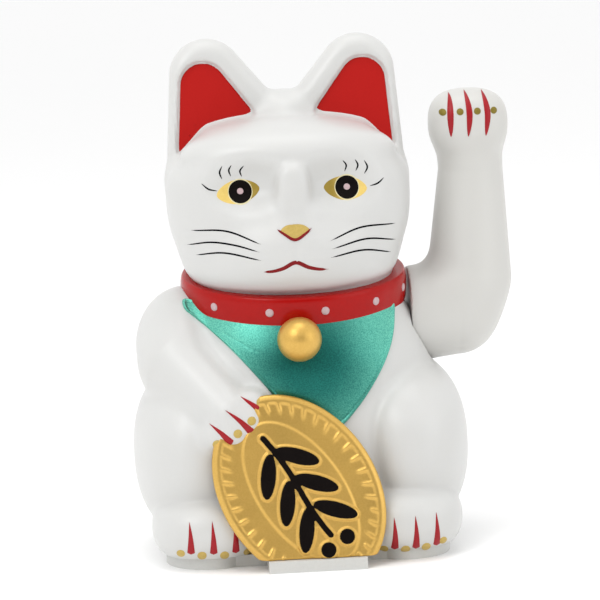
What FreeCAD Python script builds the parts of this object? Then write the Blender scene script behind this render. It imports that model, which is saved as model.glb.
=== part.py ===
import FreeCAD, Part
import os
import re

# A hollow beckoning-cat figurine with a pendulum-driven waving arm, in millimetres.
# x = 0 is the body's middle, the face looks to -Y, +Z is up, z = 0 is the table.

doc = FreeCAD.newDocument("BeckoningCat")
sheet = doc.addObject("Spreadsheet::Sheet", "Params")

PARAMS = [
    # shells
    ("shell_wall", 2.2, "wall of the front and back shells"),
    ("seam_y", 3.0, "plane where the two shells meet"),
    ("body_floor", 4.4, "underside of the shells, on the base plate"),
    # torso sections: height, half width, half depth, centre y
    ("torso_z1", 4.4, ""), ("torso_w1", 49.5, ""), ("torso_d1", 42.5, ""), ("torso_y1", 0.0, ""),
    ("torso_z2", 14.0, ""), ("torso_w2", 57.0, ""), ("torso_d2", 46.5, ""), ("torso_y2", 0.0, ""),
    ("torso_z3", 43.0, ""), ("torso_w3", 54.0, ""), ("torso_d3", 45.5, ""), ("torso_y3", 1.0, ""),
    ("torso_z4", 83.0, ""), ("torso_w4", 45.5, ""), ("torso_d4", 37.0, ""), ("torso_y4", 0.0, ""),
    ("torso_z5", 109.0, ""), ("torso_w5", 36.0, ""), ("torso_d5", 30.0, ""), ("torso_y5", -1.5, ""),
    # bulges: centre x, y, z and half sizes
    ("haunch_x", 37.5, ""), ("haunch_y", -5.0, ""), ("haunch_z", 37.5, ""),
    ("haunch_rx", 26.6, ""), ("haunch_ry", 40.0, ""), ("haunch_rz", 33.0, ""),
    ("foot_x", 36.8, ""), ("foot_y", -29.0, ""), ("foot_rx", 21.4, ""), ("foot_ry", 25.0, ""),
    ("foot_low", 0.4, "sole and crest of the foot"), ("foot_top", 26.5, ""),
    ("shoulder_x", -41.0, ""), ("shoulder_y", -3.0, ""), ("shoulder_z", 77.0, ""),
    ("shoulder_rx", 20.0, ""), ("shoulder_ry", 24.0, ""), ("shoulder_rz", 25.0, ""),
    ("forearm_len", 31.0, "half length of the lowered forearm"),
    ("forearm_r", 15.5, ""), ("forearm_x", -34.5, ""), ("forearm_y", -30.0, ""),
    ("forearm_z", 60.5, ""),
    ("paw_x", -26.0, ""), ("paw_y", -43.0, ""), ("paw_z", 52.0, ""), ("paw_r", 12.0, ""),
    ("chest_y", -14.0, ""), ("chest_z", 70.0, ""), ("chest_rx", 37.0, ""),
    ("chest_ry", 29.0, ""), ("chest_rz", 30.0, ""),
    # head
    ("head_y", -4.0, ""), ("head_z", 136.0, ""), ("head_rx", 46.3, ""),
    ("head_ry", 37.0, ""), ("head_rz", 37.5, ""), ("head_power", 2.8, "squareness"),
    ("muzzle_y", -30.5, ""), ("muzzle_z", 116.0, ""), ("muzzle_rx", 26.0, ""),
    ("muzzle_ry", 14.5, ""), ("muzzle_rz", 14.0, ""),
    ("brow_y", -17.0, ""), ("brow_z", 151.0, ""), ("brow_rx", 42.5, ""),
    ("brow_ry", 24.0, ""), ("brow_rz", 17.0, ""),
    ("nose_ridge_y", -35.5, ""), ("nose_ridge_z", 136.0, ""), ("nose_ridge_r", 7.0, ""),
    ("nose_ridge_rz", 17.0, ""),
    # ears: height, centre x, half width, half thickness
    ("ear_y", 2.5, "ear's middle plane"),
    ("ear_z1", 153.0, ""), ("ear_x1", 25.5, ""), ("ear_w1", 19.5, ""), ("ear_d1", 10.5, ""),
    ("ear_z2", 171.0, ""), ("ear_x2", 25.2, ""), ("ear_w2", 19.3, ""), ("ear_d2", 9.5, ""),
    ("ear_z3", 183.0, ""), ("ear_x3", 27.5, ""), ("ear_w3", 15.4, ""), ("ear_d3", 7.8, ""),
    ("ear_z4", 190.0, ""), ("ear_x4", 28.6, ""), ("ear_w4", 10.0, ""), ("ear_d4", 5.5, ""),
    ("ear_z5", 193.0, ""), ("ear_x5", 29.0, ""), ("ear_w5", 3.6, ""), ("ear_d5", 2.2, ""),
    ("ear_bowl_y", -8.5, ""), ("ear_bowl_z", 167.0, ""), ("ear_bowl_rx", 12.0, ""),
    ("ear_bowl_ry", 5.5, ""), ("ear_bowl_rz", 19.0, ""),
    # collar, bell, bib
    ("collar_z", 97.6, "height of the collar's middle on the axis"),
    ("collar_y", -2.0, ""), ("collar_w", 43.0, ""), ("collar_d", 38.8, ""),
    ("collar_high", 10.0, ""), ("collar_bulge", 1.4, ""), ("collar_tilt", 10.0, "front lower"),
    ("bell_r", 8.2, ""), ("bell_y", -45.0, ""), ("bell_z", 83.2, ""),
    ("bib_x", -1.5, ""), ("bib_z", 91.0, ""), ("bib_w", 38.5, ""), ("bib_h", 43.0, ""),
    ("bib_thick", 1.3, ""),
    # coin
    ("coin_x", -4.0, ""), ("coin_y", -50.4, "middle of the coin's back"), ("coin_z", 28.6, ""),
    ("coin_long", 38.0, ""), ("coin_short", 28.4, ""), ("coin_thick", 5.0, ""),
    ("coin_turn", 33.0, "long axis from the vertical"), ("coin_lean", 11.0, ""),
    ("leaf_long", 8.0, "emblem leaf's half length"), ("leaf_wide", 2.8, ""), ("leaf_high", 0.8, ""),
    ("berry_r", 2.6, ""), ("stem_r", 1.3, ""), ("stem_len", 46.0, ""),
    # base
    ("plate_floor", 2.0, ""), ("plate_inset", 0.6, ""),
    ("tab_x0", -16.5, ""), ("tab_x1", 19.6, ""), ("tab_front", -61.0, ""),
    ("bridge_front", -45.5, "front edge of the plate between the feet"),
    ("plate_rim", 3.0, "width of the plate's raised rim"), ("plate_foot", 0.8, "foot at the plate"),
    # battery bay
    ("bay_x", -27.0, ""), ("bay_half", 8.5, ""), ("bay_y0", -36.0, ""), ("bay_y1", 22.0, ""),
    ("bay_top", 18.6, ""), ("bay_wall", 1.5, ""),
    ("cell_r", 7.25, "AA cell"), ("cell_len", 49.5, ""), ("cell_nub_r", 2.75, ""),
    ("cell_nub", 1.0, ""), ("cell_z", 10.6, ""), ("cell_y0", -29.3, ""),
    ("door_under", 0.6, "door's underside above the table"), ("door_thick", 1.6, ""),
    ("door_gap", 0.35, ""), ("door_pin_r", 0.75, ""), ("door_pin_gap", 0.05, ""),
    ("door_axis_y", 25.2, ""), ("door_axis_z", 1.5, ""),
    # waving arm
    ("axis_y", 3.0, "arm's axle"), ("axis_z", 85.0, ""),
    ("axle_r", 1.5, ""), ("axle_gap", 0.05, ""), ("axle_x0", 1.5, ""), ("axle_x1", 60.0, ""),
    ("clip_thick", 0.8, "retaining ring on the axle"), ("clip_r", 3.5, ""),
    ("root_x0", 43.7, "arm's inner end"), ("root_x1", 62.5, ""), ("root_r0", 18.3, ""),
    ("root_r1", 16.5, ""), ("port_r", 19.2, "round recess in the shells that the arm turns in"),
    ("port_seat", 43.3, "bottom of that recess"), ("port_hole_r", 3.5, "hole for the axle"),
    ("arm_wall", 1.3, ""), ("arm_hub_r", 4.0, ""), ("arm_flat", 0.97, "depth for width"),
    ("arm_z1", 85.0, ""), ("arm_x1", 63.5, ""), ("arm_r1", 16.2, ""),
    ("arm_z2", 99.0, ""), ("arm_x2", 68.0, ""), ("arm_r2", 16.2, ""),
    ("arm_z3", 121.0, ""), ("arm_x3", 69.4, ""), ("arm_r3", 14.2, ""),
    ("arm_z4", 140.0, ""), ("arm_x4", 69.8, ""), ("arm_r4", 12.4, ""),
    ("arm_z5", 156.0, ""), ("arm_x5", 69.1, ""), ("arm_r5", 15.1, ""),
    ("arm_z6", 165.0, ""), ("arm_x6", 69.2, ""), ("arm_r6", 13.6, ""),
    ("arm_z7", 170.2, ""), ("arm_x7", 69.3, ""), ("arm_r7", 6.5, ""),
    # pendulum
    ("lever_x", 21.5, "plane of the pendulum"), ("lever_half", 2.0, ""),
    ("lever_wide", 4.0, ""), ("lever_end", 33.0, ""), ("lever_hub_r", 4.5, ""),
    ("magnet_r", 6.5, ""), ("magnet_low", 26.0, ""), ("magnet_high", 31.0, ""),
    ("weight_low", 36.0, ""), ("weight_high", 52.0, ""), ("weight_half", 6.0, ""),
    # pivot frame
    ("frame_in0", 4.0, ""), ("frame_in1", 7.0, ""), ("frame_out0", 36.0, ""),
    ("frame_out1", 39.0, ""), ("frame_head_r", 5.0, ""), ("frame_foot", 1.6, ""),
    # drive coil
    ("coil_r", 12.0, ""), ("coil_low", 12.0, ""), ("coil_high", 21.0, ""),
    ("bobbin_r", 13.0, ""), ("bobbin_core", 4.5, ""), ("bobbin_flange", 1.2, ""),
    # electronics and switch
    ("board_x0", -12.0, ""), ("board_x1", 20.0, ""), ("board_y0", 18.0, ""),
    ("board_y1", 31.0, ""), ("board_low", 7.0, ""), ("board_thick", 1.6, ""),
    ("lead_r", 0.6, ""), ("lead_gap", 0.3, "round a lead in the frame's upright"),
    ("chip_high", 1.8, ""), ("capacitor_r", 2.6, ""), ("capacitor_high", 7.0, ""),
    ("switch_x", 2.0, ""), ("switch_y", -26.0, ""), ("switch_travel", 2.5, ""),
    # screws
    ("boss_x", 45.0, ""), ("boss_front_y", -22.0, ""), ("boss_back_y", 36.0, ""),
    ("boss_r", 3.6, ""), ("boss_top", 22.0, ""), ("post_r", 4.5, ""),
    ("screw_r", 1.4, ""), ("screw_head_r", 2.6, ""), ("screw_head", 1.4, ""),
    ("screw_len", 12.0, ""),
    ("small_screw_r", 1.2, "frame and board screws"), ("small_head_r", 2.1, ""),
    ("small_head", 1.2, ""),
]

for row, (alias, value, note) in enumerate(PARAMS, start=1):
    sheet.set("A%d" % row, alias)
    sheet.set("B%d" % row, str(value))
    sheet.set("C%d" % row, note)
    sheet.setAlias("B%d" % row, alias)
doc.recompute()
ALIASES = {alias for alias, value, note in PARAMS}


def cells(text):
    """An expression in which every parameter name points at its cell."""
    def swap(match):
        word = match.group(0)
        return "Params." + word if word in ALIASES else word
    return re.sub(r"[a-z_][a-z0-9_]*", swap, str(text))


def bind(item, prop, text):
    item.setExpression(prop, cells(text))


def place(item, at, rotation=None):
    """Bind an object's position; the rotation is set beside it."""
    if rotation is not None:
        item.Placement = FreeCAD.Placement(FreeCAD.Vector(), rotation)
    for letter, text in zip("xyz", at):
        bind(item, ".Placement.Base." + letter, text)
    return item


def turned(axis, angle):
    return FreeCAD.Rotation(FreeCAD.Vector(*axis), angle)


TO_X = turned((0, 1, 0), 90)      # a cylinder's own +Z laid along +X
TO_Y = turned((1, 0, 0), -90)     # a cylinder's own +Z laid along +Y
QUARTER = turned((0, 0, 1), 90)   # an ellipse's long axis laid along Y
SIDES = (("left", "-1"), ("right", "1"))


def box(name, low, high):
    item = doc.addObject("Part::Box", name)
    for prop, a, b in zip(("Length", "Width", "Height"), low, high):
        bind(item, prop, "(%s) - (%s)" % (b, a))
    return place(item, low)


def rod(name, radius, at, length, rotation=None):
    item = doc.addObject("Part::Cylinder", name)
    bind(item, "Radius", radius)
    bind(item, "Height", length)
    return place(item, at, rotation)


def cone(name, radius_a, radius_b, at, length, rotation=None):
    item = doc.addObject("Part::Cone", name)
    bind(item, "Radius1", radius_a)
    bind(item, "Radius2", radius_b)
    bind(item, "Height", length)
    return place(item, at, rotation)


def ball(name, radius, at):
    item = doc.addObject("Part::Sphere", name)
    bind(item, "Radius", radius)
    return place(item, at)


def ellipsoid(name, at, radii, rotation=None):
    item = doc.addObject("Part::Ellipsoid", name)
    for prop, text in zip(("Radius2", "Radius3", "Radius1"), radii):
        bind(item, prop, text)
    return place(item, at, rotation)


def ellipse(name, at, major, minor, rotation=None):
    item = doc.addObject("Part::Ellipse", name)
    bind(item, "MajorRadius", major)
    bind(item, "MinorRadius", minor)
    return place(item, at, rotation)


def loft(name, rows, rotation=None):
    """A solid through level ellipses; a row is z, centre x, centre y, major and minor radius."""
    item = doc.addObject("Part::Loft", name)
    item.Sections = [ellipse("%s_ring%d" % (name, number), (x, y, z), major, minor, rotation)
                     for number, (z, x, y, major, minor) in enumerate(rows, start=1)]
    item.Solid = True
    return item


def extrusion(name, outline, length, direction=None):
    """A solid from a closed outline, along its own normal or the direction given."""
    item = doc.addObject("Part::Extrusion", name)
    item.Base = outline
    item.DirMode = "Custom" if direction else "Normal"
    if direction:
        item.Dir = FreeCAD.Vector(*direction)
    item.Solid = True
    bind(item, "LengthFwd", length)
    return item


def fuse(name, items):
    item = doc.addObject("Part::MultiFuse", name)
    item.Shapes = items
    return item


def cut(name, base, tool):
    item = doc.addObject("Part::Cut", name)
    item.Base = base
    item.Tool = tool
    return item


def common(name, items):
    item = doc.addObject("Part::MultiCommon", name)
    item.Shapes = items
    return item


nodes = {}


def finish_node(name, item):
    """Give an object its sub-part name and remember it."""
    item.Label = name
    nodes[name] = item
    return item


# ---------------------------------------------------------------- the cat's form

# how the foot's outline swells from its sole, 0, to its crest, 1
FOOT_LEVELS = ((0.0, 0.66), (0.22, 0.88), (0.5, 1.0), (0.78, 0.90), (0.94, 0.62), (1.0, 0.28))
HEAD_LEVELS = (-0.985, -0.85, -0.55, 0.0, 0.55, 0.85, 0.985)
FOREARM_AIM = FreeCAD.Rotation(FreeCAD.Vector(0, 0, 1), FreeCAD.Vector(17, -24, -22))


def cat_form(tag, skin):
    """The body's closed form, grown inwards by the expression skin."""
    rows = [("torso_z%d - %d" % (k, 3 if k == 1 else 0), "0", "torso_y%d" % k,
             "torso_w%d - (%s)" % (k, skin), "torso_d%d - (%s)" % (k, skin)) for k in range(1, 6)]
    parts = [loft("torso_" + tag, rows)]
    for side, sign in SIDES:
        parts.append(ellipsoid("haunch_%s_%s" % (side, tag),
                               (sign + " * haunch_x", "haunch_y", "haunch_z"),
                               ["haunch_r%s - (%s)" % (a, skin) for a in "xyz"]))
        # each foot is a low loft with a rounded crest, longer front to back
        foot = []
        for level, swell in FOOT_LEVELS:
            thin = 1.0 if level < 0.9 else 0.5
            foot.append(("foot_low + (foot_top - foot_low - (%s)) * %s" % (skin, level),
                         sign + " * foot_x", "foot_y",
                         "foot_ry * %s - (%s) * %s" % (swell, skin, thin),
                         "foot_rx * %s - (%s) * %s" % (swell, skin, thin)))
        parts.append(loft("foot_%s_%s" % (side, tag), foot, QUARTER))
    parts.append(ellipsoid("shoulder_" + tag, ("shoulder_x", "shoulder_y", "shoulder_z"),
                           ["shoulder_r%s - (%s)" % (a, skin) for a in "xyz"]))
    parts.append(ellipsoid("forearm_" + tag, ("forearm_x", "forearm_y", "forearm_z"),
                           ["forearm_r - (%s)" % skin, "forearm_r - (%s)" % skin,
                            "forearm_len - (%s)" % skin], FOREARM_AIM))
    parts.append(ball("paw_" + tag, "paw_r - (%s)" % skin, ("paw_x", "paw_y", "paw_z")))
    parts.append(ellipsoid("chest_" + tag, ("0", "chest_y", "chest_z"),
                           ["chest_r%s - (%s)" % (a, skin) for a in "xyz"]))
    head = []
    for u in HEAD_LEVELS:
        swell = "pow(1 - pow(%s; head_power); 1 / head_power)" % abs(u)
        head.append(("head_z + (head_rz - (%s)) * %s" % (skin, u), "0", "head_y",
                     "(head_rx - (%s)) * %s" % (skin, swell),
                     "(head_ry - (%s)) * %s" % (skin, swell)))
    parts.append(loft("head_" + tag, head))
    for bulge in ("muzzle", "brow"):
        parts.append(ellipsoid("%s_%s" % (bulge, tag), ("0", bulge + "_y", bulge + "_z"),
                               ["%s_r%s - (%s)" % (bulge, a, skin) for a in "xyz"]))
    return parts


def ear_parts():
    """Both ears as solid lofts that reach down into the head."""
    parts = []
    for side, sign in SIDES:
        rows = [("ear_z%d" % k, "%s * ear_x%d" % (sign, k), "ear_y", "ear_w%d" % k, "ear_d%d" % k)
                for k in range(1, 6)]
        parts.append(loft("ear_" + side, rows))
    return parts


bowls = fuse("ear_bowls", [
    ellipsoid("ear_bowl_" + side, (sign + " * (ear_x2 + 1.5)", "ear_bowl_y", "ear_bowl_z"),
              ["ear_bowl_rx", "ear_bowl_ry", "ear_bowl_rz"], turned((1, 0, 0), -6))
    for side, sign in SIDES])
ears = cut("ears", fuse("ear_pair", ear_parts()), bowls)
nose_ridge = ellipsoid("nose_ridge", ("0", "nose_ridge_y", "nose_ridge_z"),
                       ["nose_ridge_r", "nose_ridge_r", "nose_ridge_rz"])
outer_union = fuse("outer_union", cat_form("outer", "0") + [ears, nose_ridge])
under = box("under_floor", ("-90", "-90", "-20"), ("90", "90", "body_floor"))
outer_form = cut("outer_form", outer_union, under)
inner_form = fuse("inner_form", cat_form("inner", "shell_wall"))
port = fuse("arm_port", [
    rod("port_round", "port_r", ("port_seat", "axis_y", "axis_z"), "30", TO_X),
    rod("port_hole", "port_hole_r", ("30", "axis_y", "axis_z"), "30", TO_X)])


# ---------------------------------------------------------------- shells

hollow = cut("hollow_form", outer_form, inner_form)
seat = common("port_seat_disc", [
    rod("port_seat_rod", "port_r + 1.8", ("port_seat - shell_wall", "axis_y", "axis_z"), "30",
        TO_X), outer_form])
SCREW_SPOTS = [("front_left", "-boss_x", "boss_front_y"), ("front_right", "boss_x", "boss_front_y"),
               ("back", "0", "boss_back_y")]
ribs = []
for tag, x, y in SCREW_SPOTS:
    post = rod("boss_" + tag, "boss_r", (x, y, "body_floor"), "boss_top - body_floor")
    if tag == "back":
        low, high = ("-1", y, "body_floor"), ("1", y + " + 15", "boss_top")
    elif tag == "front_left":
        low, high = (x + " - 18", y + " - 1", "body_floor"), (x, y + " + 1", "boss_top")
    else:
        low, high = (x, y + " - 1", "body_floor"), (x + " + 18", y + " + 1", "boss_top")
    ribs.append(common("boss_in_form_" + tag,
                       [fuse("boss_web_" + tag, [post, box("web_" + tag, low, high)]), outer_form]))
pilots = fuse("pilot_holes", [rod("pilot_" + tag, "screw_r", (x, y, "body_floor - 1"),
                                  "screw_len - body_floor + 4") for tag, x, y in SCREW_SPOTS])
shell_all = cut("shell_all", fuse("shell_ribs", [hollow, seat] + ribs),
                fuse("shell_cuts", [pilots, port]))
front_half = box("front_half", ("-90", "-90", "-5"), ("90", "seam_y", "220"))
back_half = box("back_half", ("-90", "seam_y", "-5"), ("90", "90", "220"))
finish_node("front_shell", common("front_shell", [shell_all, front_half]))
finish_node("back_shell", common("back_shell", [shell_all, back_half]))

# ---------------------------------------------------------------- collar, bell, bib, coin

collar_rings = []
for level, bulge in ((-0.5, 0.0), (-0.28, 0.8), (0.0, 1.0), (0.28, 0.8), (0.5, 0.0)):
    collar_rings.append(("collar_high * %s" % level, "0", "0",
                         "collar_w - collar_bulge * (1 - %s)" % bulge,
                         "collar_d - collar_bulge * (1 - %s)" % bulge))
collar_band = place(loft("collar_band", collar_rings), ("0", "collar_y", "collar_z"),
                    turned((1, 0, 0), 10))
bind(collar_band, ".Placement.Rotation.Angle", "collar_tilt")
finish_node("collar", cut("collar", collar_band, outer_union))

bell_ball = ball("bell_ball", "bell_r", ("0", "bell_y", "bell_z"))

bib_rows = [("torso_z%d" % k, "0", "torso_y%d" % k, "torso_w%d + bib_thick" % k,
             "torso_d%d + bib_thick" % k) for k in range(1, 6)]
bib_skin = fuse("bib_skin", [
    loft("bib_torso", bib_rows),
    ellipsoid("bib_chest", ("0", "chest_y", "chest_z"),
              ["chest_r%s + bib_thick" % a for a in "xyz"])])
UPRIGHT = FreeCAD.Rotation(FreeCAD.Vector(0, 0, 1), FreeCAD.Vector(-1, 0, 0),
                           FreeCAD.Vector(0, 1, 0), "XZY")
bib_prism = extrusion("bib_prism", ellipse("bib_oval", ("bib_x", "-70", "bib_z"), "bib_h",
                                           "bib_w", UPRIGHT), "60", (0, 1, 0))
bib_top = box("bib_top", ("-60", "-80", "collar_z - 1"), ("60", "10", "160"))
bib_blank = cut("bib_below_top", common("bib_sheet", [bib_skin, bib_prism]), bib_top)
bib_blank = cut("bib_blank", cut("bib_below_collar", bib_blank, collar_band), outer_union)

# the coin leans back on its tab; its emblem is a sprig with two berries
COIN_TURN = turned((1, 0, 0), 90 - sheet.coin_lean).multiply(
    turned((0, 0, 1), sheet.coin_turn - 90))
coin_disc = extrusion("coin_disc", ellipse("coin_oval", ("coin_x", "coin_y", "coin_z"),
                                           "coin_long", "coin_short", COIN_TURN), "coin_thick")


def on_coin(along, across, up):
    """World point for a point of the coin: long axis, short axis, out of the face."""
    vector = COIN_TURN.multVec(FreeCAD.Vector(along, across, up))
    return tuple("%s + %.3f" % (base, part) for base, part in
                 zip(("coin_x", "coin_y", "coin_z"), vector))


coin_under = box("coin_under", ("-60", "-90", "-40"), ("60", "0", "body_floor"))
finish_node("coin", cut("coin", coin_disc, fuse("coin_cuts", [outer_form, coin_under, bell_ball,
                                                              bib_blank])))

sprig = [rod("sprig_stem", "stem_r", on_coin(-24, 0, 4.5), "stem_len",
             COIN_TURN.multiply(turned((0, 1, 0), 90)))]
for side, sign in (("a", -1), ("b", 1)):
    for number, along in enumerate((-10.5, 1.5, 13.5), start=1):
        sprig.append(ellipsoid("sprig_leaf_%d_%s" % (number, side),
                               on_coin(along, sign * 6.5, 5.0),
                               ["leaf_long", "leaf_wide", "leaf_high"],
                               COIN_TURN.multiply(turned((0, 0, 1), sign * 40))))
    sprig.append(ball("sprig_berry_" + side, "berry_r", on_coin(24, sign * 4.5, 3.2)))
finish_node("coin_emblem", cut("coin_emblem", fuse("sprig", sprig), coin_disc))

bell_blank = cut("bell_off_body", cut("bell_off_bib", bell_ball, bib_skin), outer_union)
finish_node("bell", cut("bell", bell_blank, collar_band))
finish_node("bib", cut("bib", cut("bib_round_bell", bib_blank, bell_ball), coin_disc))

# ---------------------------------------------------------------- waving arm

def arm_form(tag, skin):
    """The arm's closed form: a round root, an elbow and the forearm with its paw."""
    rows = [("arm_z%d - (%s) * %d" % (k, skin, k == 7), "arm_x%d" % k, "axis_y",
             "arm_r%d - (%s)" % (k, skin), "(arm_r%d - (%s)) * arm_flat" % (k, skin))
            for k in range(1, 8)]
    return fuse("arm_" + tag, [
        loft("forearm_up_" + tag, rows),
        cone("root_" + tag, "root_r0 - (%s)" % skin, "root_r1 - (%s)" % skin,
             ("root_x0 + (%s)" % skin, "axis_y", "axis_z"),
             "root_x1 - root_x0 - (%s)" % skin, TO_X),
        ball("elbow_" + tag, "root_r1 - (%s)" % skin, ("root_x1", "axis_y", "axis_z"))])


arm_outer = arm_form("outer", "0")
arm_hollow = cut("arm_hollow", arm_outer, arm_form("inner", "arm_wall"))
arm_hub = rod("arm_hub", "arm_hub_r", ("root_x0", "axis_y", "axis_z"),
              "axle_x1 - root_x0 + 1.5", TO_X)
arm_bore = rod("arm_bore", "axle_r", ("root_x0 - 5", "axis_y", "axis_z"),
               "axle_x1 - root_x0 + 5", TO_X)
arm_all = cut("arm_all", fuse("arm_with_hub", [arm_hollow, arm_hub]), arm_bore)
arm_front_half = box("arm_front_half", ("30", "-60", "40"), ("120", "axis_y", "220"))
arm_back_half = box("arm_back_half", ("30", "axis_y", "40"), ("120", "60", "220"))
finish_node("arm_front", common("arm_front", [arm_all, arm_front_half]))
finish_node("arm_back", common("arm_back", [arm_all, arm_back_half]))

finish_node("arm_axle", rod("arm_axle", "axle_r", ("axle_x0", "axis_y", "axis_z"),
                            "axle_x1 - axle_x0", TO_X))


def axle_ring(tag, x):
    solid = rod("clip_disc_" + tag, "clip_r", (x, "axis_y", "axis_z"), "clip_thick", TO_X)
    hole = rod("clip_hole_" + tag, "axle_r", ("%s - 1" % x, "axis_y", "axis_z"), "4", TO_X)
    return cut("clip_" + tag, solid, hole)


clips = doc.addObject("Part::Compound", "axle_clips")
clips.Links = [axle_ring("inner", "frame_in0 - 1.2"), axle_ring("outer", "frame_out1 + 0.4")]
finish_node("axle_clips", clips)

lever_hub = rod("lever_hub", "lever_hub_r", ("lever_x - 5", "axis_y", "axis_z"), "10", TO_X)
lever_bar = box("lever_bar", ("lever_x - lever_half", "axis_y - lever_wide", "lever_end"),
                ("lever_x + lever_half", "axis_y + lever_wide", "axis_z"))
lever_cup = rod("lever_cup", "magnet_r + 1.2", ("lever_x", "axis_y", "magnet_low + 1"),
                "lever_end - magnet_low + 1")
magnet_seat = rod("magnet_seat", "magnet_r", ("lever_x", "axis_y", "magnet_low - 1"),
                  "magnet_high - magnet_low + 1")
lever_bore = rod("lever_bore", "axle_r", ("lever_x - 9", "axis_y", "axis_z"), "18", TO_X)
finish_node("pendulum_lever", cut("pendulum_lever",
                                  fuse("lever_solid", [lever_hub, lever_bar, lever_cup]),
                                  fuse("lever_cuts", [magnet_seat, lever_bore])))
finish_node("magnet", rod("magnet", "magnet_r", ("lever_x", "axis_y", "magnet_low"),
                          "magnet_high - magnet_low"))
weight_block = box("weight_block",
                   ("lever_x - weight_half", "axis_y - weight_half - 2", "weight_low"),
                   ("lever_x + weight_half", "axis_y + weight_half + 2", "weight_high"))
finish_node("counterweight", cut("counterweight", weight_block, lever_bar))

# ---------------------------------------------------------------- base plate and door

def oval(name, x, y, low, high, major, minor, rotation=None):
    """A level elliptical slab."""
    ring = ellipse(name + "_ring", (x, y, low), major, minor, rotation)
    return extrusion(name, ring, "(%s) - (%s)" % (high, low))


def footprint(tag, low, high, inset):
    """The cat's footprint: the torso's oval and two feet."""
    slabs = [oval("torso_" + tag, "0", "0", low, high, "torso_w1 - (%s)" % inset,
                  "torso_d1 - (%s)" % inset)]
    for side, sign in SIDES:
        slabs.append(oval("foot_%s_%s" % (side, tag), sign + " * foot_x", "foot_y", low, high,
                          "foot_ry * plate_foot - (%s)" % inset,
                          "foot_rx * plate_foot - (%s)" % inset, QUARTER))
    return slabs


tab = box("coin_tab", ("tab_x0", "tab_front", "0"), ("tab_x1", "-30", "body_floor"))
bridge = box("plate_bridge", ("-foot_x", "bridge_front", "0"), ("foot_x", "-36", "body_floor"))
plate_slab = fuse("plate_slab", footprint("slab", "0", "body_floor", "plate_inset")
                  + [tab, bridge])
tray = fuse("plate_tray", footprint("tray", "plate_floor", "body_floor + 3",
                                    "plate_inset + plate_rim"))
raised = []
for tag, x, y in SCREW_SPOTS:
    raised.append(rod("post_" + tag, "post_r", (x, y, "plate_floor - 1"),
                      "body_floor - plate_floor + 1"))
BAY_X0, BAY_X1 = "bay_x - bay_half", "bay_x + bay_half"
bay_outside = box("bay_outside", (BAY_X0 + " - bay_wall", "bay_y0 - bay_wall", "1"),
                  (BAY_X1 + " + bay_wall", "bay_y1 + bay_wall", "bay_top + bay_wall"))
hinge_block = box("hinge_block", (BAY_X0 + " - 2.7", "bay_y1", "0"),
                  (BAY_X1 + " + 2.7", "door_axis_y + 3", "3.4"))
BOARD_SPOTS = [("left", "board_x0 + 3", "board_y0 + 3"), ("right", "board_x1 - 3", "board_y1 - 3")]
for tag, x, y in BOARD_SPOTS:
    raised.append(rod("board_post_" + tag, "2.6", (x, y, "plate_floor - 1"),
                      "board_low - plate_floor + 1"))
FRAME_SPOTS = [("a", "frame_in0 + 4", "axis_y - 11.5"), ("b", "frame_out1 - 4", "axis_y - 11.5"),
               ("c", "frame_in0 + 4", "axis_y + 11.5"), ("d", "frame_out1 - 4", "axis_y + 11.5")]
plate_holes = [
    box("bay_inside", (BAY_X0, "bay_y0", "-1"), (BAY_X1, "bay_y1", "bay_top")),
    box("door_well", (BAY_X0, "bay_y0", "-1"), (BAY_X1, "door_axis_y + 1.1", "2.5")),
    rod("door_pin_hole", "door_pin_r + door_pin_gap",
        (BAY_X0 + " - 1.8", "door_axis_y", "door_axis_z"), "2 * bay_half + 3.6", TO_X),
    box("tab_slot_back", ("bay_x - 1.4", "bay_y1 - 1.1", "bay_top - 1"),
        ("bay_x + 1.4", "bay_y1", "bay_top + 4")),
    box("tab_slot_front", ("bay_x - 1.4", "bay_y0", "bay_top - 1"),
        ("bay_x + 1.4", "bay_y0 + 0.8", "bay_top + 4")),
    box("switch_slot", ("switch_x - 2.1", "switch_y - 2", "-1"),
        ("switch_x + 1.6 + switch_travel + 0.4", "switch_y + 2", "plate_floor + 1"))]
for tag, x, y in SCREW_SPOTS:
    plate_holes.append(rod("sink_" + tag, "screw_head_r + 0.3", (x, y, "-1"), "3"))
    plate_holes.append(rod("clear_" + tag, "screw_r + 0.2", (x, y, "-1"), "body_floor + 3"))
for tag, x, y in BOARD_SPOTS:
    plate_holes.append(rod("board_pilot_" + tag, "small_screw_r", (x, y, "3.5"), "8"))
for tag, x, y in FRAME_SPOTS:
    plate_holes.append(rod("frame_pilot_" + tag, "small_screw_r", (x, y, "0.6"), "8"))
plate_solid = fuse("plate_solid", [cut("plate_cup", plate_slab, tray), bay_outside, hinge_block]
                   + raised)
finish_node("base_plate", cut("base_plate", plate_solid, fuse("plate_holes", plate_holes)))

door_plate = box("door_plate", (BAY_X0 + " + door_gap", "bay_y0 + door_gap", "door_under"),
                 (BAY_X1 + " - door_gap", "door_axis_y", "door_under + door_thick"))
door_barrel = rod("door_barrel", "door_pin_r",
                  (BAY_X0 + " - 1.5", "door_axis_y", "door_axis_z"), "2 * bay_half + 3", TO_X)
door_grip = box("door_grip", ("bay_x - 4", "bay_y0 + 4", "-1"), ("bay_x + 4", "bay_y0 + 6",
                                                              "door_under + 0.7"))
finish_node("battery_door", cut("battery_door", fuse("door_solid", [door_plate, door_barrel]),
                                door_grip))

# ---------------------------------------------------------------- battery and contacts

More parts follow.
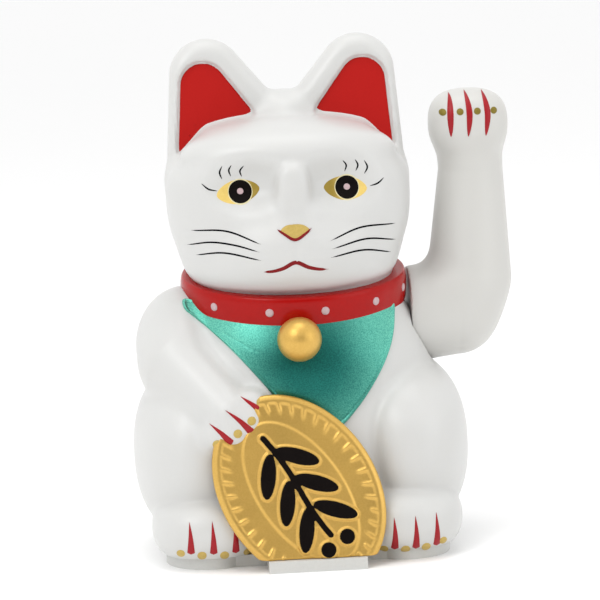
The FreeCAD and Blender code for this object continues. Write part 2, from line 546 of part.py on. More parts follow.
finish_node("battery", fuse("battery", [
    rod("cell_body", "cell_r", ("bay_x", "cell_y0", "cell_z"), "cell_len", TO_Y),
    rod("cell_nub", "cell_nub_r", ("bay_x", "cell_y0 + cell_len", "cell_z"), "cell_nub", TO_Y)]))
finish_node("contact_plate", fuse("contact_plate", [
    box("contact_leaf", ("bay_x - 5", "bay_y1 - 0.8", "4"), ("bay_x + 5", "bay_y1", "bay_top")),
    box("contact_tail", ("bay_x - 1.2", "bay_y1 - 0.8", "bay_top"),
        ("bay_x + 1.2", "bay_y1", "bay_top + 4"))]))
spring_coil = doc.addObject("Part::Helix", "spring_coil")
bind(spring_coil, "Pitch", "1.9")
bind(spring_coil, "Height", "cell_y0 - bay_y0 - 1.0")
bind(spring_coil, "Radius", "3.6")
place(spring_coil, ("bay_x", "bay_y0 + 0.7", "cell_z"), TO_Y)
spring_wire = doc.addObject("Part::Circle", "spring_wire")
bind(spring_wire, "Radius", "0.3")
place(spring_wire, ("bay_x + 3.6", "bay_y0 + 0.7", "cell_z"))
spring_sweep = doc.addObject("Part::Sweep", "spring_sweep")
spring_sweep.Sections = [spring_wire]
spring_sweep.Spine = spring_coil
spring_sweep.Solid = True
spring_sweep.Frenet = True
finish_node("contact_spring", fuse("contact_spring", [
    spring_sweep,
    box("spring_leaf", ("bay_x - 5", "bay_y0", "4"), ("bay_x + 5", "bay_y0 + 0.5", "bay_top")),
    box("spring_tail", ("bay_x - 1.2", "bay_y0", "bay_top"),
        ("bay_x + 1.2", "bay_y0 + 0.5", "bay_top + 4"))]))

# ---------------------------------------------------------------- pivot frame, coil, circuit

frame_parts = [box("frame_foot_plate", ("frame_in0", "axis_y - 14.5", "plate_floor"),
                   ("frame_out1", "axis_y + 14.5", "plate_floor + frame_foot"))]
for tag, x0, x1 in (("in", "frame_in0", "frame_in1"), ("out", "frame_out0", "frame_out1")):
    frame_parts.append(box("upright_" + tag, (x0, "axis_y - frame_head_r", "plate_floor"),
                           (x1, "axis_y + frame_head_r", "axis_z")))
    frame_parts.append(rod("upright_head_" + tag, "frame_head_r", (x0, "axis_y", "axis_z"),
                           "%s - %s" % (x1, x0), TO_X))
    frame_parts.append(box("gusset_" + tag, (x0, "axis_y - 8.8", "plate_floor"),
                           (x1, "axis_y + 8.8", "24")))
frame_holes = [rod("axle_bearing", "axle_r + axle_gap", ("frame_in0 - 1", "axis_y", "axis_z"),
                   "frame_out1 - frame_in0 + 2", TO_X)]
for tag, x, y in FRAME_SPOTS:
    frame_holes.append(rod("frame_hole_" + tag, "small_screw_r", (x, y, "0"), "10"))


def wire(name, points, radius="lead_r"):
    """A round wire through the given points, with a ball at each bend."""
    pieces = []
    for number, (a, b) in enumerate(zip(points, points[1:]), start=1):
        step = FreeCAD.Vector(*b) - FreeCAD.Vector(*a)
        pieces.append(rod("%s_run%d" % (name, number), radius, a, step.Length,
                          FreeCAD.Rotation(FreeCAD.Vector(0, 0, 1), step)))
        if number > 1:
            pieces.append(ball("%s_bend%d" % (name, number), radius, a))
    return fuse(name, pieces)


COIL_LEADS = [("a", [(9.1, 3, 18), (2, 9, 18), (-1, 19.5, 13), (-1, 19.5, 8.6)]),
              ("b", [(9.1, 5, 14), (2.5, 12, 13), (2, 19.5, 12), (2, 19.5, 8.6)])]
for tag, points in COIL_LEADS:
    frame_holes.append(wire("lead_way_" + tag, points, "lead_r + lead_gap"))
finish_node("pivot_frame", cut("pivot_frame", fuse("frame_solid", frame_parts),
                               fuse("frame_holes", frame_holes)))

COIL = ("lever_x", "axis_y")
finish_node("coil_bobbin", fuse("coil_bobbin", [
    rod("bobbin_core", "bobbin_core", COIL + ("plate_floor + frame_foot",),
        "coil_high + bobbin_flange - plate_floor - frame_foot"),
    rod("flange_low", "bobbin_r", COIL + ("coil_low - bobbin_flange",), "bobbin_flange"),
    rod("flange_high", "bobbin_r", COIL + ("coil_high",), "bobbin_flange")]))
finish_node("drive_coil", cut("drive_coil",
                              rod("coil_disc", "coil_r", COIL + ("coil_low",),
                                  "coil_high - coil_low"),
                              rod("coil_eye", "bobbin_core", COIL + ("coil_low - 1",),
                                  "coil_high - coil_low + 2")))

board_holes = [rod("board_hole_" + tag, "small_screw_r", (x, y, "board_low - 1"), "5")
               for tag, x, y in BOARD_SPOTS]
finish_node("driver_board", cut(
    "driver_board", box("board_sheet", ("board_x0", "board_y0", "board_low"),
                        ("board_x1", "board_y1", "board_low + board_thick")),
    fuse("board_holes", board_holes)))
BOARD_TOP = "board_low + board_thick"
finish_node("driver_chip", box("driver_chip", ("0", "board_y0 + 4", BOARD_TOP),
                               ("7", "board_y0 + 9", BOARD_TOP + " + chip_high")))
finish_node("capacitor", rod("capacitor", "capacitor_r", ("12", "board_y0 + 6.5", BOARD_TOP),
                             "capacitor_high"))
finish_node("lead_positive", wire("lead_positive", [
    (-27, 22.6, 22), (-27, 25, 22), (-16, 27, 21), (-9.5, 27, 16), (-9.5, 27, 8.6)]))
finish_node("lead_negative", wire("lead_negative", [
    (-27, -34.9, 22), (-27, -32, 22), (-14, -26, 21), (-8, -8, 12), (-4, 20, 12), (-4, 21, 8.6)]))
coil_wires = doc.addObject("Part::Compound", "coil_leads")
coil_wires.Links = [wire("coil_lead_" + tag, points) for tag, points in COIL_LEADS]
finish_node("coil_leads", coil_wires)

# ---------------------------------------------------------------- switch and screws

switch_box = box("switch_box", ("switch_x - 6", "switch_y - 3.5", "plate_floor"),
                 ("switch_x + 8", "switch_y + 3.5", "8"))
switch_room = box("switch_room", ("switch_x - 2.1", "switch_y - 2", "0"),
                  ("switch_x + 1.6 + switch_travel + 0.4", "switch_y + 2", "3.6"))
finish_node("switch_body", cut("switch_body", switch_box, switch_room))
finish_node("switch_knob", box("switch_knob", ("switch_x - 1.6", "switch_y - 1.6", "0.6"),
                               ("switch_x + 1.6", "switch_y + 1.6", "3.2")))


def screws(name, spots, shaft_r, head_r, head_low, head_high, tip, foot):
    """Screws as one sub-part: the head between two heights, the shaft from foot to tip."""
    items = []
    for tag, x, y in spots:
        items.append(fuse("%s_%s" % (name, tag), [
            rod("%s_shaft_%s" % (name, tag), shaft_r, (x, y, foot), "(%s) - (%s)" % (tip, foot)),
            rod("%s_head_%s" % (name, tag), head_r, (x, y, head_low),
                "(%s) - (%s)" % (head_high, head_low))]))
    group = doc.addObject("Part::Compound", name)
    group.Links = items
    return finish_node(name, group)


FRAME_TOP = "plate_floor + frame_foot"
screws("base_screws", SCREW_SPOTS, "screw_r", "screw_head_r", "0.6", "0.6 + screw_head",
       "screw_len + 2", "0.6")
screws("frame_screws", FRAME_SPOTS, "small_screw_r", "small_head_r", FRAME_TOP,
       FRAME_TOP + " + small_head", FRAME_TOP + " + small_head", "0.6")
screws("board_screws", BOARD_SPOTS, "small_screw_r", "small_head_r", BOARD_TOP,
       BOARD_TOP + " + small_head", BOARD_TOP + " + small_head", "3.5")

# ---------------------------------------------------------------- build, check, write

doc.recompute()
broken = [item.Name for item in doc.Objects if "Invalid" in item.State or "Error" in item.State]
if broken:
    raise RuntimeError("not built: " + ", ".join(broken))
os.makedirs("parts", exist_ok=True)
for name in sorted(nodes):
    shape = nodes[name].Shape
    if shape.isNull() or not shape.isValid() or not shape.Solids:
        raise RuntimeError("no valid solid: " + name)
    shape.exportStep("parts/%s.step" % name)
    print("%-16s %d solid(s) %9.1f mm3" % (name, len(shape.Solids), shape.Volume))
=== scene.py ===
import math
import bmesh
import bpy
import numpy as np
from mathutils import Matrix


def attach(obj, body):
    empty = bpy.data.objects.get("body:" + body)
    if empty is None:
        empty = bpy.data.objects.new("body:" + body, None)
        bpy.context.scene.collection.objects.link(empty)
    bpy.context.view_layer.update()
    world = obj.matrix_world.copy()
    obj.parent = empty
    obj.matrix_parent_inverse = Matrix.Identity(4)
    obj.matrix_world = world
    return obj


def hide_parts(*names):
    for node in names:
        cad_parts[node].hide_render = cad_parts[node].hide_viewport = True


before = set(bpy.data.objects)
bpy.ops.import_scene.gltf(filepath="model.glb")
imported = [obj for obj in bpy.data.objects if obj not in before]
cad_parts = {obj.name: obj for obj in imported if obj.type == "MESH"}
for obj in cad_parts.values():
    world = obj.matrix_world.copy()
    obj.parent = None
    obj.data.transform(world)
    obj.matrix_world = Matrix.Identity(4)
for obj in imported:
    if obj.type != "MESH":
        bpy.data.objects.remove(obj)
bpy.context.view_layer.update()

import openvdb
from mathutils import Matrix, Quaternion, Vector

# A beckoning cat: every shape below is worked out in millimetres in the CAD frame
# (x right, -y to the front, z up) and written to its mesh in metres.

MM = 0.001
SEAM_Y = 3.0             # where the front and back shells meet
SEAM_GAP = 0.10          # half the fine line between them
DATUM = 7.0              # heights are measured from a level this far under the table
FLOOR_Z = DATUM + 4.4    # underside of the shells
SHELL_WALL = 2.2
ARM_WALL = 1.3
AXIS_Y, AXIS_Z = 3.0, 92.0
PORT_X, PORT_R = 43.3, 19.2
HEAD_X = -1.0


# ------------------------------------------------------------------ distance fields

def length(*parts):
    return np.sqrt(sum(p * p for p in parts))


def smin(a, b, k):
    """Union of two fields with a fillet of about k."""
    h = np.maximum(k - np.abs(a - b), 0.0) / k
    return np.minimum(a, b) - h * h * k * 0.25


def smax(a, b, k):
    return -smin(-a, -b, k)


def ramp(v, low, high):
    t = np.clip((v - low) / (high - low), 0.0, 1.0)
    return t * t * (3 - 2 * t)


def ellipsoid(p, centre, radii, power=2.0):
    q = [(p[i] - centre[i]) / radii[i] for i in range(3)]
    s = sum(np.abs(c) ** power for c in q) + 1e-12
    f = s ** (1.0 / power)
    slope = length(*[np.abs(q[i]) ** (power - 1.0) / radii[i] for i in range(3)])
    return (f - 1.0) / np.maximum(slope * s ** (1.0 / power - 1.0), 1e-3)


def round_cone(p, a, b, ra, rb):
    ba = [b[i] - a[i] for i in range(3)]
    pa = [p[i] - a[i] for i in range(3)]
    t = np.clip(sum(u * v for u, v in zip(pa, ba)) / sum(u * u for u in ba), 0, 1)
    return length(*[pa[i] - ba[i] * t for i in range(3)]) - (ra + (rb - ra) * t)


def through(z, zs, vs):
    """A smooth cubic through the rows of a table."""
    m = np.gradient(vs, zs)
    z = np.clip(z, zs[0], zs[-1])
    i = np.clip(np.searchsorted(zs, z, side="right") - 1, 0, len(zs) - 2)
    h = zs[i + 1] - zs[i]
    t = (z - zs[i]) / h
    t2, t3 = t * t, t * t * t
    return ((2 * t3 - 3 * t2 + 1) * vs[i] + (t3 - 2 * t2 + t) * h * m[i]
            + (-2 * t3 + 3 * t2) * vs[i + 1] + (t3 - t2) * h * m[i + 1])


def loft(p, rows, power):
    """Level superellipses through rows of z, half width, half depth, centre y."""
    t = np.array(rows, float)
    a, b, c = (through(p[2], t[:, 0], t[:, k]) for k in (1, 2, 3))
    qx, qy = np.abs(p[0]) / a, np.abs(p[1] - c) / b
    f = (qx ** power + qy ** power + 1e-12) ** (1 / power)
    slope = length(qx ** (power - 1) / a, qy ** (power - 1) / b) * f ** (1 - power)
    side = (f - 1) / np.maximum(slope, 1e-3)
    return np.maximum(side, np.maximum(t[0, 0] - p[2], p[2] - t[-1, 0]))


def triangle(x, z, corners):
    """Signed distance to a triangle in a plane."""
    pts = [np.array(c, float) for c in corners]
    u, v = pts[1] - pts[0], pts[2] - pts[0]
    turn = 1.0 if u[0] * v[1] - u[1] * v[0] > 0 else -1.0
    nearest = inside = None
    for k in range(3):
        start, edge = pts[k], pts[(k + 1) % 3] - pts[k]
        wx, wz = x - start[0], z - start[1]
        t = np.clip((wx * edge[0] + wz * edge[1]) / (edge @ edge), 0, 1)
        gap = (wx - edge[0] * t) ** 2 + (wz - edge[1] * t) ** 2
        side = turn * (edge[0] * wz - edge[1] * wx)
        nearest = gap if nearest is None else np.minimum(nearest, gap)
        inside = side if inside is None else np.minimum(inside, side)
    return -np.sign(inside) * np.sqrt(nearest)


def slab(flat, thick, r):
    """A rounded slab from a distance in its plane and a distance through it."""
    a, b = flat + r, thick + r
    return np.minimum(np.maximum(a, b), 0) + length(np.maximum(a, 0), np.maximum(b, 0)) - r


# ------------------------------------------------------------------ the cat's form

TORSO = [(6, 46.0, 40.0, 0.0), (11.4, 51.0, 43.0, 0.0), (16, 54.8, 45.2, 0.0),
         (22, 56.6, 46.5, 0.0), (30, 56.5, 47.0, 0.5), (50, 54.0, 45.5, 1.0),
         (72, 52.3, 41.5, 1.0), (82, 50.0, 39.5, 0.5), (90, 46.8, 37.0, 0.0),
         (103, 40.0, 33.5, -1.0),
         (112, 37.0, 31.0, -1.5), (122, 34.0, 28.0, -2.0)]
EAR = [(28.6, 186.3), (31.0, 150.0), (3.6, 156.0)]
EAR_BOWL = [(30.2, 182.8), (32.8, 146.0), (10.6, 157.0)]
TOES = [((-19.2, -43.0, 67.3), 5.7), ((-22.0, -45.6, 61.2), 5.8),
        ((-27.2, -46.6, 57.6), 5.8), ((-33.0, -45.4, 56.2), 5.4)]


EAR_BOWL_DEPTH = 2.4     # from the ear's front face to the bowl's floor
EAR_BOWL_BACK = 2.0      # how far in front of that face the middle of its cutter lies


def ear_front(z):
    """Middle plane and half thickness of an ear at a height."""
    return 2.0 + (z - 165) * 0.06, 9.5 - (z - 165) * 0.09


def ears(p):
    x, y, z = np.abs(p[0] - HEAD_X), p[1], p[2]
    middle, half = ear_front(z)
    solid = slab(triangle(x, z, EAR) - 14.0, np.abs(y - middle) - half, 5.0)
    through_bowl = np.abs(y - middle + half + EAR_BOWL_BACK) - (EAR_BOWL_DEPTH + EAR_BOWL_BACK)
    bowl = slab(triangle(x, z, EAR_BOWL) - 9.2, through_bowl, 1.2)
    return smax(solid, -bowl, 1.8)


def torso(p):
    d = loft(p, TORSO, 2.25)
    return smin(d, ellipsoid(p, (0, -14, 77), (37, 29, 29)), 8)


def forehead(h):
    """The head's main form, squeezed level on top."""
    squeeze = 1.36 + 0.42 * ramp(np.abs(h[0]), 29, 43)
    level = (h[0], h[1], np.where(h[2] > 143, 143 + (h[2] - 143) * squeeze, h[2]))
    return ellipsoid(level, (0, -4, 143), (46.0, 36.5, 37.5), 2.7)


def head(p):
    h = (p[0] - HEAD_X, p[1], p[2])
    m = (np.abs(h[0]), p[1], p[2])
    d = forehead(h)
    d = smin(d, ellipsoid(h, (0, -5, 117), (39.6, 35.5, 14.5), 2.4), 7)
    d = smin(d, ellipsoid(h, (0, 3, 164), (13, 16, 16.3)), 4)
    d = smin(d, ears(p), 4)
    d = smin(d, ellipsoid(h, (0, -17, 156.2), (40.5, 23.0, 13.6), 2.15), 1.6)
    d = smax(d, -ellipsoid(m, (18.8, -43.6, 147.5), (15.5, 10.5, 9.0)), 6)
    lean = (h[0], h[1] + 0.2 * (h[2] - 147), h[2])
    d = smin(d, ellipsoid(lean, (0, -36, 139.5), (6.6, 7.8, 15.5), 3.0), 2.6)
    d = smin(d, ellipsoid(h, (0, -31, 123), (25, 14.5, 13.5)), 8)
    groove = np.exp(-(h[0] / 0.7) ** 2) * ramp(h[2], 117, 120) * ramp(-h[2], -128, -125)
    return d + 0.28 * groove * (h[1] < -25)


def body(p):
    m = (np.abs(p[0]), p[1], p[2])
    d = smin(torso(p), ellipsoid(m, (39.5, -5, 45), (24.1, 42, 33), 2.3), 2.5)
    d = smin(d, ellipsoid(m, (36.8, -29, 20.5), (21.4, 25, 14.3), 2.35), 1.6)
    d = smin(d, ellipsoid(p, (0, -24, 21), (30, 21.5, 15), 2.4), 3)
    limb = smin(ellipsoid(p, (-41.5, -3, 84.5), (19.5, 23, 23.0)),
                round_cone(p, (-44, -18, 79), (-27.5, -40.5, 63), 16.0, 11.0), 7)
    paw = None
    for centre, r in TOES:
        toe = length(*[p[i] - centre[i] for i in range(3)]) - r
        paw = toe if paw is None else smin(paw, toe, 1.2)
    limb = smin(limb, paw, 3.0)
    d = smin(d, limb, 4)
    return smin(d, head(p), 2.0)


def arm(p):
    root = round_cone(p, (46, 3, 92), (62.5, 3, 92), 18.4, 16.4)
    fore = round_cone(p, (68.0, 3, 106), (69.8, 3, 147), 16.2, 12.3)
    paw = ellipsoid(p, (69.2, 2, 164.5), (15.0, 14.5, 13.2), 2.6)
    return smin(smin(root, fore, 9), paw, 7)


def slope_of(f, pts, e=0.05):
    """Gradient of a field at points."""
    out = []
    for i in range(3):
        step = [e if j == i else 0.0 for j in range(3)]
        high = f([pts[:, j] + step[j] for j in range(3)])
        low = f([pts[:, j] - step[j] for j in range(3)])
        out.append((high - low) / (2 * e))
    return np.stack(out, 1)


def finer(v):
    """A sampled field at half its spacing."""
    for axis in range(3):
        v = np.moveaxis(v, axis, 0)
        out = np.empty((2 * v.shape[0] - 1,) + v.shape[1:], v.dtype)
        out[::2] = v
        out[1::2] = (v[:-1] + v[1:]) / 2
        v = np.moveaxis(out, 0, axis)
    return np.ascontiguousarray(v)


# ------------------------------------------------------------------ meshes

def mesh_object(name, points, faces, datum=DATUM):
    """A mesh object from points in millimetres, its faces turned outwards."""
    mesh = bpy.data.meshes.new(name)
    mesh.from_pydata(((np.asarray(points, float) - (0, 0, datum)) * MM).tolist(), [], faces)
    shape = bmesh.new()
    shape.from_mesh(mesh)
    bmesh.ops.recalc_face_normals(shape, faces=shape.faces)
    shape.to_mesh(mesh)
    shape.free()
    piece = bpy.data.objects.new(name, mesh)
    bpy.context.scene.collection.objects.link(piece)
    return piece


def skin_of(name, f, low, high, step, halve=True, datum=DATUM):
    """The closed zero surface of a field inside a box, its points moved onto the field."""
    coarse = step * 2 if halve else step
    axes = [np.arange(low[i], high[i] + coarse, coarse) for i in range(3)]
    sampled = f(np.meshgrid(*axes, indexing="ij")).astype(np.float32)
    if halve:
        sampled = finer(sampled)
    grid = openvdb.FloatGrid(background=float(step * 3))
    grid.copyFromArray(sampled)
    points, quads = grid.convertToQuads(isovalue=0.0)
    points = points.astype(float) * step + np.array(low, float)
    for _ in range(3):
        g = slope_of(f, points)
        now = f([points[:, i] for i in range(3)])
        move = np.clip(now / np.maximum((g * g).sum(1), 1e-3), -step, step)
        points = points - move[:, None] * g
    return mesh_object(name, points, quads[:, ::-1].tolist(), datum)


def block(name, low, high):
    """A plain box, used only to cut with."""
    pts = [(x, y, z) for x in (low[0], high[0]) for y in (low[1], high[1])
           for z in (low[2], high[2])]
    return mesh_object(name, pts, [(0, 1, 3, 2), (4, 6, 7, 5), (0, 4, 5, 1), (2, 3, 7, 6),
                                   (0, 2, 6, 4), (1, 5, 7, 3)])


def drum(name, x0, x1, r, count=160):
    """A plain cylinder on the arm's axle, used only to cut with."""
    pts, faces = [], []
    for x in (x0, x1):
        for k in range(count):
            a = 2 * math.pi * k / count
            pts.append((x, AXIS_Y + r * math.cos(a), AXIS_Z + r * math.sin(a)))
    for k in range(count):
        n = (k + 1) % count
        faces.append((k, n, n + count, k + count))
    faces += [tuple(range(count)), tuple(range(count, 2 * count))]
    return mesh_object(name, pts, faces)


def boolean(piece, operation, *tools):
    """Apply booleans to a piece, one tool after the other."""
    for tool in tools:
        change = piece.modifiers.new("boolean", "BOOLEAN")
        change.object = tool
        change.operation = operation
        change.solver = "MANIFOLD"
        graph = bpy.context.evaluated_depsgraph_get()
        result = bpy.data.meshes.new_from_object(piece.evaluated_get(graph))
        piece.modifiers.clear()
        if not len(result.polygons):
            raise RuntimeError("empty boolean on " + piece.name)
        piece.data = result
    return piece


def copy_of(piece, name):
    twin = bpy.data.objects.new(name, piece.data.copy())
    bpy.context.scene.collection.objects.link(twin)
    return twin


def drop(*tools):
    for tool in tools:
        bpy.data.objects.remove(tool)


def grid_faces(rows, cols, start=0, around=False):
    faces = []
    for i in range(rows - 1):
        for j in range(cols if around else cols - 1):
            n = (j + 1) % cols
            faces.append((start + i * cols + j, start + (i + 1) * cols + j,
                          start + (i + 1) * cols + n, start + i * cols + n))
    return faces


def sheet(top, bottom):
    """Points and faces of a closed sheet between two grids of points."""
    rows, cols = top.shape[:2]
    half = rows * cols
    points = np.concatenate([top.reshape(-1, 3), bottom.reshape(-1, 3)])
    faces = grid_faces(rows, cols) + grid_faces(rows, cols, half)
    edge = ([(0, j) for j in range(cols)] + [(i, cols - 1) for i in range(1, rows)]
            + [(rows - 1, j) for j in range(cols - 2, -1, -1)]
            + [(i, 0) for i in range(rows - 2, 0, -1)])
    ring = [i * cols + j for i, j in edge]
    for a, b in zip(ring, ring[1:] + ring[:1]):
        faces.append((a, b, b + half, a + half))
    return points, faces


def joined(name, parts):
    """One mesh object from several closed sheets."""
    points, faces, start = [], [], 0
    for pts, fcs in parts:
        points.append(pts)
        faces += [tuple(k + start for k in face) for face in fcs]
        start += len(pts)
    return mesh_object(name, np.concatenate(points), faces)


def land(f, x, z, start=-78.0):
    """Where lines running back from the front meet a field, with its normals there."""
    flat_x, flat_z = np.ravel(x).astype(float), np.ravel(z).astype(float)
    y = np.full(flat_x.shape, start)
    for _ in range(90):
        y = np.minimum(y + 0.85 * f([flat_x, y, flat_z]), 20.0)
    pts = np.stack([flat_x, y, flat_z], 1)
    g = slope_of(f, pts)
    normal = g / np.maximum(length(g[:, 0], g[:, 1], g[:, 2]), 1e-6)[:, None]
    shape = np.shape(x) + (3,)
    return pts.reshape(shape), normal.reshape(shape)


def on_surface(f, x, z, proud, deep=0.3):
    """A closed sheet lying on a field; proud is its height at each point."""
    pts, normal = land(f, x, z)
    height = np.broadcast_to(proud, np.shape(x))[..., None]
    return sheet(pts + normal * height, pts - normal * deep)


def curve(points, count):
    """A smooth line through a few points in the plane."""
    pts = np.array(points, float)
    t = np.concatenate([[0], np.cumsum(length(*np.diff(pts, axis=0).T))])
    s = np.linspace(0, t[-1], count)
    if len(pts) == 2:
        return np.stack([np.interp(s, t, pts[:, k]) for k in (0, 1)], 1)
    return np.stack([through(s, t, pts[:, k]) for k in (0, 1)], 1)


def stroke(f, points, wide, taper, proud=0.10, count=40):
    """A painted stroke: taper gives its width along it, 0 to 1."""
    line = curve(points, count)
    run = np.gradient(line, axis=0)
    side = np.stack([-run[:, 1], run[:, 0]], 1) / length(run[:, 0], run[:, 1])[:, None]
    half = np.maximum(taper(np.linspace(0, 1, count)) * wide / 2, 0.03)
    across = np.linspace(-1, 1, 7)
    x = line[:, 0][:, None] + side[:, 0][:, None] * half[:, None] * across
    z = line[:, 1][:, None] + side[:, 1][:, None] * half[:, None] * across
    return on_surface(f, x, z, proud * (1 - 0.7 * across ** 2)[None, :] + 0 * x)


def disc_grid(count):
    """A square grid mapped to the unit disc: angle and radius of each point."""
    u, v = np.meshgrid(np.linspace(-1, 1, count), np.linspace(-1, 1, count), indexing="ij")
    a, b = u * np.sqrt(1 - v * v / 2), v * np.sqrt(1 - u * u / 2)
    return np.arctan2(b, a), np.minimum(length(a, b), 1.0)


def reach(inside, centre, angle, far=90.0):
    """Distance from a centre to a closed outline along each angle; inside(x, z) < 0 within."""
    near, out = np.zeros(angle.shape), np.full(angle.shape, far)
    for _ in range(40):
        mid = (near + out) / 2
        within = inside(centre[0] + mid * np.cos(angle), centre[1] + mid * np.sin(angle)) < 0
        near, out = np.where(within, mid, near), np.where(within, out, mid)
    return near


def blob(f, inside, centre, count, height, deep=0.3):
    """A filled painted shape; height(rho, edge distance) gives how proud it stands."""
    angle, rho = disc_grid(count)
    r = reach(inside, centre, angle)
    x, z = centre[0] + rho * r * np.cos(angle), centre[1] + rho * r * np.sin(angle)
    return on_surface(f, x, z, height(rho, (1 - rho) * r), deep)


def oval(centre, rx, rz, power=2.0, tilt=0.0):
    c, s = math.cos(math.radians(tilt)), math.sin(math.radians(tilt))

    def inside(x, z):
        dx, dz = x - centre[0], z - centre[1]
        return (np.abs((dx * c + dz * s) / rx) ** power
                + np.abs((dz * c - dx * s) / rz) ** power) - 1
    return inside


def polygon(points):
    """Inside test for a closed smooth outline through points, star-shaped from its middle."""
    ring = np.array(points, float)
    middle = (ring.min(0) + ring.max(0)) / 2
    wrapped = np.concatenate([ring[-3:], ring, ring[:3]])
    line = curve(wrapped, 900)
    angles = np.arctan2(line[:, 1] - middle[1], line[:, 0] - middle[0])
    radii = length(line[:, 0] - middle[0], line[:, 1] - middle[1])
    order = np.argsort(angles)
    angles, radii = angles[order], radii[order]

    def inside(x, z):
        a = np.arctan2(z - middle[1], x - middle[0])
        return length(x - middle[0], z - middle[1]) - np.interp(a, angles, radii,
                                                                period=2 * math.pi)
    return inside, tuple(middle)


# ------------------------------------------------------------------ materials

ROUGH_SWING = 0.06       # how far the blotches move the roughness either way
MIX_A, MIX_B, MIX_OUT = 6, 7, 2      # a Mix node's colour sockets


def node_material(name, colour, rough, second, grain, blotch, metallic=0.0, coat=0.0,
                  coat_rough=0.1, specular=0.5, grain_mix=0.25, blotch_mix=0.12, bump=0.00002,
                  stretch=(1, 1, 1), subsurface=0.0, contrast=(0.35, 0.65), fade=None):
    """A moulded or painted finish: fine grain and broad blotches in colour, gloss and height;
    fade adds painted shade near a point.
    """
    made = bpy.data.materials.new(name)
    made.use_nodes = True
    tree = made.node_tree
    shader = tree.nodes["Principled BSDF"]
    shader.inputs["Metallic"].default_value = metallic
    shader.inputs["Specular IOR Level"].default_value = specular
    shader.inputs["Coat Weight"].default_value = coat
    shader.inputs["Coat Roughness"].default_value = coat_rough
    shader.inputs["Subsurface Weight"].default_value = subsurface
    shader.inputs["Subsurface Radius"].default_value = (0.004, 0.0035, 0.003)

    def add(kind, **values):
        node = tree.nodes.new(kind)
        for key, value in values.items():
            if key[0].isupper():
                node.inputs[key.replace("_", " ")].default_value = value
            else:
                setattr(node, key, value)
        return node

    where = add("ShaderNodeTexCoord")
    stretched = add("ShaderNodeMapping", Scale=stretch)
    tree.links.new(where.outputs["Object"], stretched.inputs["Vector"])
    fine = add("ShaderNodeTexNoise", Scale=grain, Detail=3.0, Roughness=0.6)
    broad = add("ShaderNodeTexNoise", Scale=blotch, Detail=4.0, Roughness=0.55)
    for noise in (fine, broad):
        tree.links.new(stretched.outputs["Vector"], noise.inputs["Vector"])
    spread = add("ShaderNodeValToRGB")
    spread.color_ramp.elements[0].position = contrast[0]
    spread.color_ramp.elements[1].position = contrast[1]
    tree.links.new(fine.outputs["Fac"], spread.inputs["Fac"])
    base, other = tuple(colour) + (1.0,), tuple(second) + (1.0,)
    mixes = []
    for source, amount in ((spread.outputs["Color"], grain_mix),
                           (broad.outputs["Fac"], blotch_mix)):
        scale = add("ShaderNodeMath", operation="MULTIPLY")
        scale.inputs[1].default_value = amount
        tree.links.new(source, scale.inputs[0])
        mix = add("ShaderNodeMix", data_type="RGBA")
        tree.links.new(scale.outputs[0], mix.inputs["Factor"])
        mix.inputs[MIX_A].default_value = base
        mix.inputs[MIX_B].default_value = other
        if mixes:
            tree.links.new(mixes[-1].outputs[MIX_OUT], mix.inputs[MIX_A])
        mixes.append(mix)
    finished = mixes[-1].outputs[MIX_OUT]
    if fade:                 # painted shade near a point, in metres: the colour is darkened towards it
        point, near, far, shade_tone = fade
        gap = add("ShaderNodeVectorMath", operation="DISTANCE")
        gap.inputs[1].default_value = point
        tree.links.new(where.outputs["Object"], gap.inputs[0])
        share = add("ShaderNodeMapRange", interpolation_type="SMOOTHSTEP", From_Min=near,
                    From_Max=far)
        tree.links.new(gap.outputs["Value"], share.inputs["Value"])
        shaded = add("ShaderNodeMix", data_type="RGBA", blend_type="MULTIPLY")
        shaded.inputs["Factor"].default_value = 1.0
        tree.links.new(finished, shaded.inputs[MIX_A])
        shaded.inputs[MIX_B].default_value = tuple(shade_tone) + (1.0,)
        pick = add("ShaderNodeMix", data_type="RGBA")
        tree.links.new(share.outputs["Result"], pick.inputs["Factor"])
        tree.links.new(shaded.outputs[MIX_OUT], pick.inputs[MIX_A])
        tree.links.new(finished, pick.inputs[MIX_B])
        finished = pick.outputs[MIX_OUT]
    tree.links.new(finished, shader.inputs["Base Color"])
    gloss = add("ShaderNodeMapRange", From_Min=0.3, From_Max=0.7, To_Min=rough - ROUGH_SWING,
                To_Max=rough + ROUGH_SWING)
    tree.links.new(broad.outputs["Fac"], gloss.inputs["Value"])
    tree.links.new(gloss.outputs["Result"], shader.inputs["Roughness"])
    relief = add("ShaderNodeBump", Strength=1.0, Distance=bump)
    tree.links.new(fine.outputs["Fac"], relief.inputs["Height"])
    tree.links.new(relief.outputs["Normal"], shader.inputs["Normal"])
    return made


WHITE = node_material("white_plastic", (0.62, 0.62, 0.607), 0.38, coat=0.12, coat_rough=0.3,
                      second=(0.55, 0.547, 0.525), grain=1400, grain_mix=0.10, blotch=28,
                      blotch_mix=0.22, bump=0.000012, subsurface=0.05)
ARM_WHITE = node_material("arm_plastic", (0.59, 0.585, 0.56), 0.42, coat=0.08, coat_rough=0.3,
                          second=(0.59, 0.575, 0.54), grain=1400, grain_mix=0.10, blotch=28,
                          blotch_mix=0.25, bump=0.000012, subsurface=0.05)
RED_GLOSS = node_material("collar_enamel", (0.41, 0.003, 0.002), 0.22, specular=0.20,
                          second=(0.28, 0.002, 0.001), grain=700, grain_mix=0.2, blotch=60,
                          blotch_mix=0.35, bump=0.00001)
RED_MATTE = node_material("ear_paint", (0.46, 0.010, 0.008), 0.65, second=(0.36, 0.007, 0.005),
                          grain=1600, grain_mix=0.25, blotch=45, blotch_mix=0.4, bump=0.00002,
                          specular=0.12)
